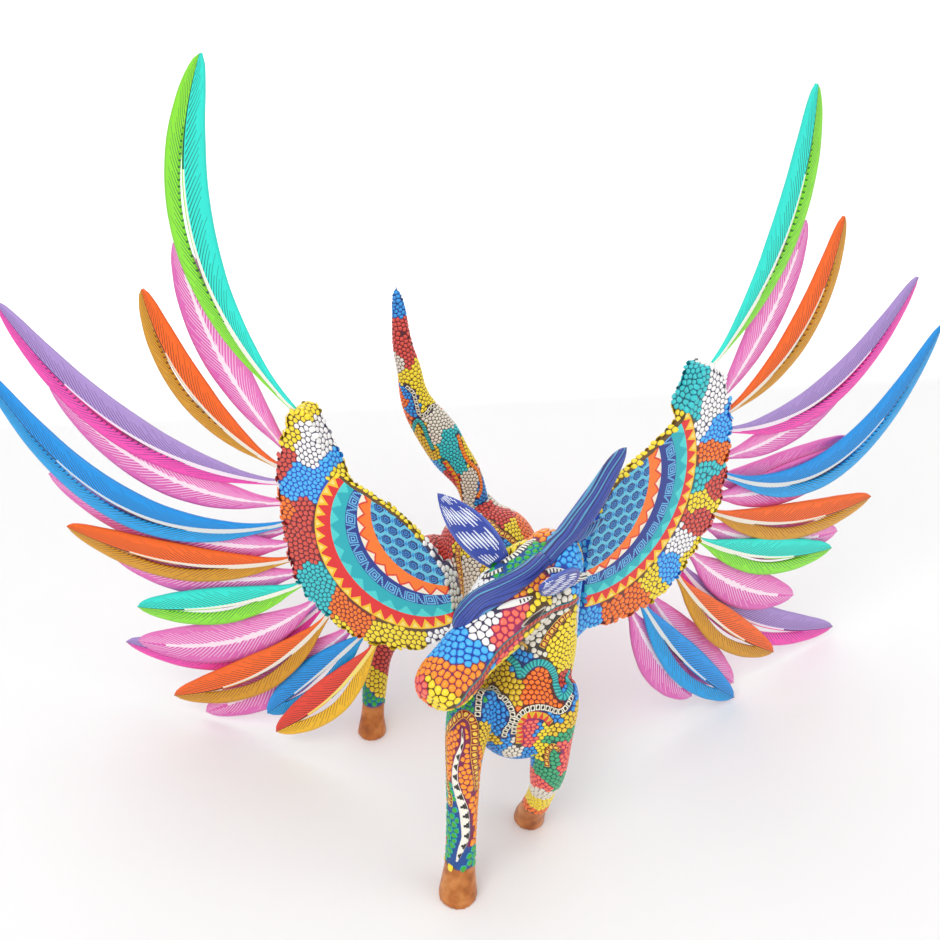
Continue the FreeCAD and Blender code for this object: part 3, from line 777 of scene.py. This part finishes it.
number_layer(tail.data, "copper", np.zeros(len(tail_points)))
tail.data.materials.append(ground_coat)
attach(tail, "tail")
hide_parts("tail")
tail_surface = Surface(tail)
band_finish("combed_orange", shade(255, 134, 20), shade(214, 84, 6), shade(255, 176, 70), 2.4, "comb")
tail_lines = []
for name, paint_name, band in TAIL_BANDS + (
        ("tail_orange", "combed_orange", (((-28, 73, 231), (-25, 71, 221), (-21, 71, 211), (-13, 73, 201),
                                           (-11, 72, 189), (-14, 70, 181)), 1.6, 1.6, False)),):
    piece = lay_bands(name, tail_surface, (band,), lift=0.7)
    piece.data.materials.append(bpy.data.materials[paint_name])
    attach(piece, "tail")
    tail_lines += [(tail_surface.touch(p * MM)[0], band[1]) for p in smooth_line(band[0], 1.0)]
tail_centres = np.empty(len(tail.data.polygons) * 3)
tail.data.polygons.foreach_get("center", tail_centres)
tail_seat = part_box("tail")[0].z / MM + 26
tail_reach = np.where(tail_centres.reshape(-1, 3)[:, 2] / MM > tail_seat, 2.9, 0)
drop_rows("dots_tail", spread(tail_surface, tail_reach, 8), tail_reach, fence_of(tail_lines),
          tail_work.pot_at, "tail",
          0.5)

# Hair -----------------------------------------------------------------------
# Forelock and mane are flat carved locks glued to the head and neck. They are painted dark
# blue, with grooved strands, a few of them picked out in light blue.


def streaked_finish(name, deep, mid, pale, width):
    """Long fine strands of paint that run along a lock."""
    material, recipe, shader = finish(name, Coat_Weight=0.25, Coat_Roughness=0.3)
    run, side, share = recipe.split(recipe.wire("ShaderNodeAttribute", {"attribute_name": "strand"},
                                                output=1))
    sway = recipe.maths("SINE", run * 0.09) * 0.7 + recipe.maths("SINE", run * 0.05 + side * 0.8) * 0.5
    strand = (side + sway) / width
    beat = strand.part()
    pick = recipe.wire("ShaderNodeTexWhiteNoise", {"noise_dimensions": "1D"}, {"W": strand.whole()})
    light = (beat > 0.30) * (beat < 0.40 + pick * 0.42) * (pick > 0.34)
    colour = recipe.blend((beat < 0.12 + pick * 0.2).top(beat > 0.95), mid, deep)
    colour = recipe.blend(light, colour, pale)
    brushed = recipe.blend(grain_noise(recipe, 300.0) * 0.35, colour, deep)
    recipe.tree.links.new(brushed.socket, shader.inputs["Base Color"])
    recipe.tree.links.new((0.38 + beat * 0.1).socket, shader.inputs["Roughness"])
    groove = recipe.wire("ShaderNodeBump", None, {"Strength": 0.6, "Distance": 0.0007,
                                                  "Height": recipe.maths("SINE", beat * 3.1416)})
    recipe.tree.links.new(groove.socket, shader.inputs["Normal"])
    return material


def along_line(piece, line, wide):
    """Marks a carved lock with how far each place is along its line and across it, in millimetres."""
    fine = smooth_line(line, 1.0)
    runs = [0.0]
    for a, b in zip(fine, fine[1:]):
        runs.append(runs[-1] + (b - a).length)
    tree = kdtree.KDTree(len(fine))
    for k, point in enumerate(fine):
        tree.insert(point, k)
    tree.balance()
    marks = []
    for point in corners_mm(piece):
        _, k, _ = tree.find(point)
        ahead = (fine[min(k + 1, len(fine) - 1)] - fine[max(k - 1, 0)]).normalized()
        across = (Vector(wide) - ahead * ahead.dot(Vector(wide))).normalized()
        marks.append((runs[k], (Vector(point) - fine[k]).dot(across), runs[k] / runs[-1]))
    vector_layer(piece.data, "strand", marks)


HAIR_LINES = {
    "forelock": (((4, -84, 219), (-8, -93, 215), (-22, -98, 210), (-35, -100, 204), (-43, -103, 197),
                  (-48, -104, 189)),
                 (-0.1, 0.8, 0.6)),
    "mane": (((5, -83, 216), (13, -75, 221), (24, -67, 228), (40, -61, 246), (51, -53, 261), (58, -48, 268),
              (63, -44, 272)), (-0.66, 0.09, 0.54)),
}
hair_paint = streaked_finish("hair_paint", shade(34, 38, 104), shade(58, 82, 178), shade(92, 170, 212), 1.9)
for node, (line, wide) in HAIR_LINES.items():
    lock = carved(node + "_locks", [node], 0.8, 3)
    along_line(lock, line, wide)
    lock.data.materials.append(hair_paint)
    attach(lock, "figure")
    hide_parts(node)

# Ears -----------------------------------------------------------------------
# Two leaf-shaped ears on round pegs. Each is blue with rows of short white brush strokes on
# its dished face, and a rim left thick.


def leaf_marks(piece, line, wide):
    """Marks a leaf with share of the length, share of the half width, and half width in millimetres."""
    start, tip = Vector(line[0]), Vector(line[1])
    ahead = (tip - start).normalized()
    across = (Vector(wide) - ahead * ahead.dot(Vector(wide))).normalized()
    points = [Vector(p) - start for p in corners_mm(piece)]
    places = [(p.dot(ahead) / (tip - start).length, p.dot(across)) for p in points]
    reach = np.zeros(26)
    for share, side in places:
        reach[int(min(max(share, 0), 1) * 25)] = max(reach[int(min(max(share, 0), 1) * 25)], abs(side))
    marks = [(share, side / max(reach[int(min(max(share, 0), 1) * 25)], 0.4), side) for share, side in places]
    vector_layer(piece.data, "leaf", marks)


ear_paint, recipe, shader = finish("ear_paint", Roughness=0.4, Coat_Weight=0.25, Coat_Roughness=0.25)
share, side, _ = recipe.split(recipe.wire("ShaderNodeAttribute", {"attribute_name": "leaf"}, output=1))
hand = recipe.wire("ShaderNodeTexWhiteNoise", {"noise_dimensions": "1D"},
                   {"W": (side * 6.0 + share * 1.4).whole()})
row = (share * 3.3 + side * 0.35 + hand * 0.22).part()
stroke = (side * 6.0 + share * 1.4).part()
white = (abs(stroke - 0.4) < 0.36 - abs(row - 0.36) * 0.6) * (row < 0.72) * (abs(side) < 0.76)
white = white * (share > 0.14) * (share < 0.93)
blue = recipe.blend(grain_noise(recipe, 240.0) * 0.5, shade(54, 78, 178), shade(34, 46, 130))
marked = recipe.blend(white, blue, shade(236, 240, 250))
rimmed = recipe.blend(abs(side) > 0.86, marked, shade(70, 96, 190))
fringe = recipe.blend((side * 4.0).part() < 0.45, shade(246, 244, 236), shade(24, 22, 26))
recipe.tree.links.new(recipe.blend(share < 0.09, rimmed, fringe).socket, shader.inputs["Base Color"])
EARS = {
    "ear_right": ((-15.6, -71.9, 208.0), (-55.9, -57.4, 255.6), (0.7, 0.1, 0.6)),
    "ear_left": ((25.4, -83.9, 205.0), (-3.8, -119.9, 223.9), (0.2, -0.45, 1.0)),
}
for node, (foot, tip, wide) in EARS.items():
    ear = carved(node + "_leaf", [node], 0.8, 2)
    leaf_marks(ear, (foot, tip), wide)
    ear.data.materials.append(ear_paint)
    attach(ear, node)
    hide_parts(node)

# Wing panels ----------------------------------------------------------------
# Each wing is one thick board, carved to a lobed rim. Its face carries woven-looking bands
# drawn round a centre near the shoulder, and beyond the last band the rim is dotted.

WING_FRAMES = {
    "left": (Vector((27.38, -45.48, 150.0)), Vector((0.8652, 0.5015, 0)), Vector((0.5015, -0.8652, 0))),
    "right": (Vector((-32.62, -45.48, 150.0)), Vector((-0.8652, 0.5015, 0)), Vector((-0.5015, -0.8652, 0))),
}
# Centre and radius of the outer edge of each band: scale field, toothed orange, key pattern, teal, pennants.
WING_BANDS = {
    "left": ((12, 87, 51), (19, 86, 55), (28, 83, 60), (28, 85, 70), (29, 84, 78)),
    "right": ((24, 73, 43), (32, 66, 45), (37, 61, 49), (42, 57, 55), (48, 52, 61)),
}


def flat_place(point, side):
    """Out, up and forward of the wing root, in the plane of the panel."""
    origin, out, front = WING_FRAMES[side]
    step = Vector(point) - origin
    return step.dot(out), step.z, step.dot(front)


def wing_finish(side):
    material, recipe, shader = finish("wing_paint_" + side, Roughness=0.42, Coat_Weight=0.25,
                                      Coat_Roughness=0.3)
    u, v, w = recipe.split(recipe.wire("ShaderNodeAttribute", {"attribute_name": "flat"}, output=1))

    def radius(band):
        across, up, _ = WING_BANDS[side][band]
        return ((u - across) ** 2 + (v - up) ** 2) ** 0.5

    def turn(band):
        across, up, far = WING_BANDS[side][band]
        return recipe.maths("ARCTAN2", v - up, u - across) * far

    def inside(band):
        return radius(band) < WING_BANDS[side][band][2]

    def depth(band):
        """From 0 at the outer edge of the band inward, in millimetres."""
        return WING_BANDS[side][band][2] - radius(band)

    # Scales: staggered six-sided cells, each with a spiral, and a small star in every gap.
    row = (v / 7.4).whole()
    shifted = u / 9.4 + row * 0.5
    cell_u = (shifted.part() - 0.5) * 9.4
    cell_v = ((v / 7.4).part() - 0.5) * 7.4
    tilt = cell_u * 0.92 + cell_v * 0.38
    rise = cell_v * 0.92 - cell_u * 0.38
    hexagon = abs(rise).top(abs(rise) * 0.5 + abs(tilt) * 0.80)
    reach = (tilt ** 2 + rise ** 2) ** 0.5
    curl = (reach / 1.5 - recipe.maths("ARCTAN2", rise, tilt) / 6.2832).part()
    scale_mark = recipe.blend((curl > 0.58) * (hexagon < 2.5), shade(8, 32, 108), shade(40, 150, 226))
    field = recipe.blend(hexagon < 3.1, shade(96, 196, 226), scale_mark)
    star_u = ((shifted + 0.5).part() - 0.5) * 9.4
    star = (abs(star_u) * abs(cell_v) < 0.45) * (abs(star_u) + abs(cell_v) < 2.2)
    field = recipe.blend(star, field, shade(24, 140, 214))

    # Orange with stepped white triangles and a red stepped line along the outer edge.
    step_deep = (depth(1) * 1.4).whole() / 1.4
    wave = abs((turn(1) / 11.0).part() * 2 - 1) * 5.0
    teeth = recipe.blend(wave + step_deep < 5.6, shade(255, 122, 12), shade(228, 36, 26))
    teeth = recipe.blend(wave + step_deep < 3.9, teeth, shade(250, 238, 214))

    # Key pattern: a square spiral, a bar, a stepped diagonal, a bar.
    key = (turn(2) / 15.5).part() * 15.5
    half = depth(2)
    box = abs(key - 4.0).top(abs(half - 4.0))
    link = (abs(key - 2.4) < 0.45) * (abs(half - 3.6) < 1.2)
    spiral = (box > 2.6) * (box < 3.5) + (box < 1.7) * (box > 0.9) + link
    bars = (abs(key - 8.6) < 0.42) + (abs(key - 14.6) < 0.42)
    stair = (abs((key - 9.4).whole() * 1.5 + 0.6 - half) < 0.9) * (key > 9.4) * (key < 14.0)
    lines = (spiral + bars + stair).low(1.0) * (half > 0.5) * (half < 7.4)
    keys = recipe.blend(lines, shade(12, 44, 142), shade(104, 190, 236))

    # Teal with soft stepped clouds.
    cloud = abs((turn(3) / 13.0).part() * 2 - 1) * 6.0
    clouds = recipe.blend(((cloud * 0.8).whole() + (depth(3) * 0.7).whole()) < 4.0, shade(0, 178, 190),
                          shade(70, 216, 214))

    # Red with yellow pennants that stand on the outer edge.
    flag = abs((turn(4) / 9.3).part() * 2 - 1) * 4.65
    lean = flag * 1.5 + depth(4)
    pennants = recipe.blend(lean < 7.6, shade(232, 26, 30), shade(252, 198, 0))
    pennants = recipe.blend((lean < 4.6) * (depth(4) > 1.0), pennants, shade(250, 226, 120))

    ground = recipe.wire("ShaderNodeAttribute", {"attribute_name": "ground"})
    painted = recipe.blend(inside(4), ground, pennants)
    painted = recipe.blend(inside(3), painted, clouds)
    painted = recipe.blend(inside(2), painted, keys)
    painted = recipe.blend(inside(1), painted, teeth)
    painted = recipe.blend(inside(0), painted, field)
    on_face = abs(w) > 7.2
    painted = recipe.blend(on_face * (u > 7.0), ground, painted)
    recipe.tree.links.new(painted.socket, shader.inputs["Base Color"])
    brushed = recipe.wire("ShaderNodeBump", None, {"Strength": 0.12, "Distance": 0.0004,
                                                   "Height": grain_noise(recipe, 420.0, 3.0)})
    recipe.tree.links.new(brushed.socket, shader.inputs["Normal"])
    return material


RIM_PATCHES = {
    "right": {
        "yellow": ((117, 133), (68, -21), (53, -18), (34, -12), (95, -23), (116, 118), (90, 94)),
        "white": ((111, 113), (112, 123), (108, 105), (25, -13), (16, -7)),
        "sky": ((111, 84), (103, 92), (123, 78), (96, 98), (122, 89)),
        "red": ((121, 52), (126, 31), (116, 64), (128, 95), (114, 45), (127, 19)),
        "teal": ((111, 3), (118, 12), (106, -6)),
        "ember": ((87, -13), (75, -16), (94, -7), (131, 66)),
    },
    "left": {
        "teal": ((103, 139), (101, 129), (120, 72), (106, 148)),
        "white": ((117, 139), (117, 129), (119, 146), (115, 118), (104, 22)),
        "yellow": ((89, 117), (121, 52), (76, -1), (108, 14)),
        "sky": ((134, 106), (127, 104), (92, 6), (22, -4)),
        "ember": ((124, 88), (47, -5), (62, -9), (33, -3)),
        "red": ((116, 37), (128, 60)),
    },
}
HALF_BOARD = 8.0       # from the middle of the board to its face
EDGE_KEPT = 0.42       # share of the thickness left at the leading edge
RIM_FADE = 12.0        # width over which the thinning fades out at the rim
ROOT_FADE = (24.0, 8.0)   # where it fades out at the root, and over what width
ROOT_BARE = 3.0        # strip at the root with no drops
RIM_SPACING = 4.1
for side, patches in RIM_PATCHES.items():
    node = "wing_" + side
    panel = carved(node + "_panel", [node], 1.3, 3)
    spots = corners_mm(panel)
    places = [(Vector((u, v, 0)), pot) for pot, marks in patches.items() for u, v in marks]
    rim_tree = kdtree.KDTree(len(places))
    for k, (place, _) in enumerate(places):
        rim_tree.insert(place, k)
    rim_tree.balance()

    def rim_pot(point, side=side, places=places, rim_tree=rim_tree):
        u, v, w = flat_place(point, side)
        return places[rim_tree.find(Vector((u + 1.2 * math.sin(v / 4), v + 1.2 * math.sin(u / 4), 0)))[1]][1]

    origin, out, front = WING_FRAMES[side]
    far_u, far_v, far = WING_BANDS[side][4]
    # The board thins towards its leading edge and keeps its thickness at the rim and the root.
    flats = []
    for vertex, point in zip(panel.data.vertices, spots):
        u, v, w = flat_place(point, side)
        near_rim = min(max((math.hypot(u - far_u, v - far_v) - far + RIM_FADE) / RIM_FADE, 0.0), 1.0)
        near_root = min(max((ROOT_FADE[0] - u) / ROOT_FADE[1], 0.0), 1.0)
        keep = max(near_rim, near_root, EDGE_KEPT)
        vertex.co = Vector(vertex.co) + front * ((HALF_BOARD - w) * (1 - keep) * MM)
        flats.append((u, v, w))
    spots = corners_mm(panel)
    vector_layer(panel.data, "flat", flats)
    colour_layer(panel.data, "ground", [POTS[rim_pot(p)][2] for p in spots])
    panel.data.materials.append(wing_finish(side))
    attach(panel, node)
    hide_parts(node)
    panel_surface = Surface(panel)
    middle = np.empty(len(panel.data.polygons) * 3)
    panel.data.polygons.foreach_get("center", middle)
    middle = middle.reshape(-1, 3) / MM
    wanted = np.zeros(len(middle))
    for k, point in enumerate(middle):
        u, v, w = flat_place(point, side)
        on_rim = math.hypot(u - far_u, v - far_v) > far + 0.3
        if u > ROOT_BARE and (on_rim or abs(w) < 7.0):
            wanted[k] = RIM_SPACING

    def last_band(spot, side=side, far_u=far_u, far_v=far_v, far=far):
        u, v, w = flat_place(spot / MM, side)
        gap = math.hypot(u - far_u, v - far_v)
        if abs(w) < 7.0 or gap > far + 6:
            return None, 0.0
        origin, out, _ = WING_FRAMES[side]
        return spot + (out * (far_u - u) + Vector((0, 0, far_v - v))) * ((gap - far) / gap * MM), 0.0

    drop_rows("dots_wing_" + side, spread(panel_surface, wanted, 21), wanted, last_band, rim_pot, node,
              0.6)

# Feathers -------------------------------------------------------------------
# Each feather is a thin blade on a round quill, with a slit sawn beside the shaft of the
# long ones. Brush strokes fan out from the shaft to both edges as barbs.

QUILL_RADIUS = 1.9
BLADE_SHARES = ((0.0, 0.10), (0.08, 0.22), (0.2, 0.52), (0.36, 0.82), (0.55, 1.0), (0.72, 0.92), (0.87, 0.66),
                (0.96, 0.36), (1.0, 0.03))
FEATHER_PAINTS = {
    "turquoise_lime": (shade(40, 238, 220), shade(146, 240, 50), shade(4, 84, 62), shade(246, 246, 230)),
    "pink": (shade(236, 104, 190), shade(226, 90, 182), shade(255, 224, 242), shade(255, 232, 244)),
    "orange": (shade(255, 104, 0), shade(222, 156, 0), shade(116, 36, 4), shade(240, 230, 214)),
    "lavender_magenta": (shade(178, 148, 214), shade(255, 72, 184), shade(84, 44, 120), shade(246, 232, 244)),
    "blue": (shade(0, 154, 238), shade(0, 168, 240), shade(2, 48, 104), shade(222, 226, 226)),
}
FEATHER_ORDER = ("turquoise_lime", "pink", "orange", "lavender_magenta", "pink", "blue", "pink", "pink",
                 "orange", "pink",
                 "turquoise_lime", "pink", "lavender_magenta", "orange", "pink", "blue", "pink")


def feather_finish(name, upper, lower, barb, shaft, hairy):
    """Barbs and shaft painted along the blade: run and half width are read from the blade itself."""
    material, recipe, shader = finish("feather_" + name, Coat_Weight=0.05, Coat_Roughness=0.35)
    run, side, share = recipe.split(recipe.wire("ShaderNodeAttribute", {"attribute_name": "blade"}, output=1))
    half = recipe.blend(side > 0.0, lower, upper)
    # Random patches that mix the colour toward the barb paint, stronger toward both edges.
    barb_mottle = recipe.wire("ShaderNodeTexNoise", None,
                        {"Vector": object_point(recipe), "Scale": 60.0, "Detail": 3.0})
    half = recipe.blend((abs(side) * 0.16 * barb_mottle).low(0.3), half, barb)
    swept = run * 0.24 - abs(side) * 7.0
    jitter = recipe.wire("ShaderNodeTexWhiteNoise", {"noise_dimensions": "1D"}, {"W": swept.whole()})
    beat = swept.part()
    strokes = (beat < 0.36 - abs(side) * 0.20) * (abs(side) > 0.10) * (abs(side) < 0.52 + jitter * 0.42)
    painted = recipe.blend(strokes, half, recipe.blend(abs(side) * 0.55, barb, half))
    if hairy:
        fluff = (abs(side) < 0.05 + (1.0 - share) * 0.06 + jitter * 0.07) * (share < 0.86)
        painted = recipe.blend(fluff, painted, shaft)
    else:
        pale = (abs(side - 0.02) < 0.035 + (1.0 - share) ** 4 * 0.4) * (share < 0.72)
        painted = recipe.blend((side < -0.03) * (side > -0.12) * (share < 0.5), painted, shade(30, 26, 34))
        painted = recipe.blend(pale, painted, shaft)
        painted = recipe.blend((abs(side) < 0.04) * (share > 0.72), painted, barb)
    recipe.tree.links.new(painted.socket, shader.inputs["Base Color"])
    recipe.tree.links.new((0.42 + beat * 0.08).socket, shader.inputs["Roughness"])
    ridge = recipe.wire("ShaderNodeBump", None,
                        {"Strength": 0.35, "Distance": 0.0005, "Height": strokes * -1.0})
    recipe.tree.links.new(ridge.socket, shader.inputs["Normal"])
    return material


feather_finishes = {name: feather_finish(name, *paints, name == "pink") for name,
                    paints in FEATHER_PAINTS.items()}
feather_finishes["flame"] = feather_finish("flame", shade(240, 66, 44), shade(255, 198, 20),
                                           shade(110, 24, 16),
                                           shade(250, 226, 120), False)


def feather_maker():
    """The node tree for one feather: a bowed, tapered, slightly dished blade with a sawn slit."""
    tree = bpy.data.node_groups.new("feather_blade", "GeometryNodeTree")
    tree.interface.new_socket("Geometry", in_out="INPUT", socket_type="NodeSocketGeometry")
    for name in ("Long", "Bow", "Half Width", "Thick", "Dish"):
        tree.interface.new_socket(name, in_out="INPUT", socket_type="NodeSocketFloat")
    tree.interface.new_socket("Paint", in_out="INPUT", socket_type="NodeSocketMaterial")
    tree.interface.new_socket("Geometry", in_out="OUTPUT", socket_type="NodeSocketGeometry")
    recipe = Recipe(tree)
    given = recipe.add("NodeGroupInput")
    long, bow, half, thick, dish = [Wire(recipe, given.outputs[n]) for n in
                                    ("Long", "Bow", "Half Width", "Thick", "Dish")]
    place = recipe.wire("GeometryNodeInputPosition")
    share, side, face = recipe.split(place)
    slope = recipe.wire("ShaderNodeFloatCurve", None, {1: share})
    curve = slope.socket.node.mapping.curves[0]
    for k, (at, value) in enumerate(BLADE_SHARES):
        if k in (0, 1):
            curve.points[k].location = (at, value)
        else:
            curve.points.new(at, value)
    slope.socket.node.mapping.update()
    reach = side * half * slope
    along = share * long
    lift = face * thick * (1.0 - abs(side) * 0.45) - dish * side * side * slope
    lean = bow * 4.0 * (1.0 - 2.0 * share) / long
    norm = (1.0 + lean * lean) ** 0.5
    x = along - reach * lean / norm
    y = bow * 4.0 * share * (1.0 - share) + reach / norm
    moved = recipe.wire("ShaderNodeCombineXYZ", None, {0: x * MM, 1: y * MM, 2: lift * MM})
    marks = recipe.wire("ShaderNodeCombineXYZ", None, {0: along, 1: side, 2: share})
    kept = recipe.wire("GeometryNodeStoreNamedAttribute", {"data_type": "FLOAT_VECTOR", "domain": "POINT"},
                       {"Geometry": Wire(recipe, given.outputs["Geometry"]), "Name": "blade", "Value": marks})
    shaped = recipe.wire("GeometryNodeSetPosition", None, {"Geometry": kept, "Position": moved})
    real = recipe.wire("GeometryNodeRealizeInstances", None, {0: shaped})
    smooth = recipe.wire("GeometryNodeSetShadeSmooth", None, {0: real})
    coloured = recipe.wire("GeometryNodeSetMaterial", None,
                           {"Geometry": smooth, "Material": Wire(recipe, given.outputs["Paint"])})
    recipe.add("NodeGroupOutput", None, {0: coloured})
    return tree


def blade_plate(slit):
    """A closed plate in shares of the length, half width and thickness, with the sawn slit left open."""
    rows = [k / 54 for k in range(55)]
    columns = [-1.0, -0.84, -0.62, -0.42, -0.10, -0.07, 0.0, 0.06, 0.2, 0.4, 0.62, 0.84, 1.0]
    open_cells = set()
    if slit:
        open_cells = {(r, 4) for r in range(54) if 0.28 < (rows[r] + rows[r + 1]) / 2 < 0.84}
    cells = {(r, c) for r in range(54) for c in range(12)} - open_cells
    corners, index, faces = [], {}, []

    def corner(r, c, face):
        if (r, c, face) not in index:
            index[(r, c, face)] = len(corners)
            opening = math.sin(math.pi * min(max((rows[r] - 0.27) / 0.58, 0.0),
                                             1.0)) if slit and c == 4 else 0.0
            corners.append((rows[r], columns[c] - 0.22 * opening, face))
        return index[(r, c, face)]

    for r, c in sorted(cells):
        ring = ((r, c), (r + 1, c), (r + 1, c + 1), (r, c + 1))
        faces.append([corner(a, b, 0.5) for a, b in ring])
        faces.append([corner(a, b, -0.5) for a, b in reversed(ring)])
        beside = ((r, c - 1), (r + 1, c), (r, c + 1), (r - 1, c))
        for (a, b), other in zip(zip(ring, ring[1:] + ring[:1]), beside):
            if other not in cells:
                faces.append([corner(*a, 0.5), corner(*a, -0.5), corner(*b, -0.5), corner(*b, 0.5)])
    mesh = bpy.data.meshes.new("blade_plate")
    mesh.from_pydata(corners, [], faces)
    return mesh


def read_feather(node, side):
    """Quill end, root, length, angle and bow of a feather, read from its carving in the flat wing frame."""
    flat = np.array([flat_place(v.co / MM, side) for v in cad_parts[node].data.vertices])
    level = (flat[:, 2].min() + flat[:, 2].max()) / 2
    quill = flat[np.abs(flat[:, 2] - level) > 1.56][:, :2]
    rim = flat[:, :2]
    tip = rim[np.argmax(np.hypot(*(rim - quill.mean(0)).T))]
    gaps = np.hypot(*(quill - tip).T)
    far_end = quill[gaps > gaps.max() - 1.0].mean(0)
    near_end = quill[gaps < gaps.min() + 1.0].mean(0)
    heading = near_end - far_end
    heading = heading / np.hypot(*heading)
    root = far_end + heading * 10.0
    chord = tip - root
    long = np.hypot(*chord)
    turn = math.atan2(chord[1], chord[0])
    swing = math.atan2(heading[1], heading[0]) - turn
    swing = (swing + math.pi) % (2 * math.pi) - math.pi
    return root, level, long, turn, math.tan(swing) * long / 3.84


def quill_rod(piece, foot, run, radius):
    """A round quill added to a finished blade, along its start direction."""
    body = bmesh.new()
    body.from_mesh(piece.data)
    rod = bmesh.ops.create_cone(body, cap_ends=True, segments=10, radius1=radius * MM,
                                radius2=radius * 0.8 * MM,
                                depth=run * MM)
    heading = Vector((foot[0], foot[1], 0)).normalized()
    turn = heading.to_track_quat("Z", "Y").to_matrix().to_4x4()
    shift = Matrix.Translation(heading * ((run / 2 - 10.0) * MM))
    bmesh.ops.transform(body, matrix=shift @ turn, verts=rod["verts"])
    body.to_mesh(piece.data)
    body.free()


feather_tree = feather_maker()
slotted_plate = blade_plate(True)
whole_plate = blade_plate(False)
for side, (origin, out, front) in WING_FRAMES.items():
    for number, paint_name in enumerate(FEATHER_ORDER, 1):
        node = "feather_%s_%02d" % (side, number)
        if node == "feather_right_17":
            paint_name = "flame"
        root, level, long, turn, bow = read_feather(node, side)
        plate = whole_plate if paint_name == "pink" else slotted_plate
        blade = run_tree(new_piece(node + "_blade", plate.copy()), feather_tree, Long=float(long),
                         Bow=float(bow),
                         Half_Width=(17.5 if paint_name == "pink" else 15.5) * (0.75 + 0.25 * long / 200),
                         Thick=3.0, Dish=1.2, Paint=feather_finishes[paint_name])
        quill_rod(blade, (1.0, 4 * bow / long), 26.0, QUILL_RADIUS)
        spin = Matrix.Rotation(turn, 4, "Z")
        lay = Matrix.Identity(4)
        for row in range(3):
            lay[row][0], lay[row][1], lay[row][2] = out[row], (0, 0, 1)[row], front[row]
        foot = origin + out * root[0] + Vector((0, 0, root[1])) + front * level
        blade.data.transform(Matrix.Translation(foot * MM) @ lay @ spin)
        if side == "right":
            blade.data.flip_normals()
        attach(blade, "wing_" + side)
        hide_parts(node)
        "feather_" + ("orange" if paint_name == "flame" else paint_name)

# Room and camera ------------------------------------------------------------
# A pale table top that curves up behind the figure, soft light from large square panels,
# and the camera.

room_profile = [(-2.4, 0.0), (1.6, 0.0)]
for k in range(1, 13):
    bend = math.pi / 2 * k / 12
    room_profile.append((1.6 + 0.8 * math.sin(bend), 0.8 - 0.8 * math.cos(bend)))
room_profile.append((2.4, 3.2))
floor_mesh = bpy.data.meshes.new("pale_sweep")
floor_mesh.from_pydata([(x, y, z) for y, z in room_profile for x in (-4.0, 4.0)], [],
                       [(2 * k, 2 * k + 1, 2 * k + 3, 2 * k + 2) for k in range(len(room_profile) - 1)])
floor_mesh.shade_smooth()
pale, recipe, shader = finish("pale_card", Roughness=0.9)
tone = recipe.blend(grain_noise(recipe, 3.0), shade(250, 250, 250), shade(255, 255, 255))
recipe.tree.links.new(tone.socket, shader.inputs["Base Color"])
floor_mesh.materials.append(pale)
floor = new_piece("pale_sweep", floor_mesh)


def panel_light(name, place, aim, wide, watts):
    lamp = bpy.data.lights.new(name, "AREA")
    lamp.shape = "SQUARE"
    lamp.size = wide
    lamp.energy = watts
    piece = new_piece(name, lamp)
    piece.location = place
    piece.rotation_euler = (Vector(aim) - Vector(place)).to_track_quat("-Z", "Y").to_euler()


panel_light("key_panel", (-0.9, -1.3, 1.5), (0, 0, 0.2), 1.1, 13)
panel_light("fill_panel", (1.3, -0.9, 1.0), (0, 0, 0.25), 1.2, 5)
panel_light("top_panel", (0.0, 0.3, 1.9), (0, 0, 0.1), 1.6, 6)
panel_light("back_wash", (0.0, 0.7, 1.1), (0, 2.4, 1.0), 1.6, 26)
room_air = bpy.data.worlds.new("room_air")
room_air.use_nodes = True
room_air.node_tree.nodes["Background"].inputs["Color"].default_value = (1.0, 1.0, 1.0, 1.0)
room_air.node_tree.nodes["Background"].inputs["Strength"].default_value = 0.62
bpy.context.scene.world = room_air

target = Vector((-30.87, -19.68, 249.8)) * MM
azimuth, elevation = math.radians(-7.23), math.radians(27.0)
back = Vector((math.sin(azimuth) * math.cos(elevation), -math.cos(azimuth) * math.cos(elevation),
               math.sin(elevation)))
lens = bpy.data.cameras.new("camera")
lens.lens = 45.96
lens.clip_start = 0.01
camera = new_piece("camera", lens)
camera.location = target + back * 0.7591
camera.rotation_euler = (-back).to_track_quat("-Z", "Y").to_euler()
bpy.context.scene.camera = camera
bpy.context.scene.view_settings.view_transform = "Standard"
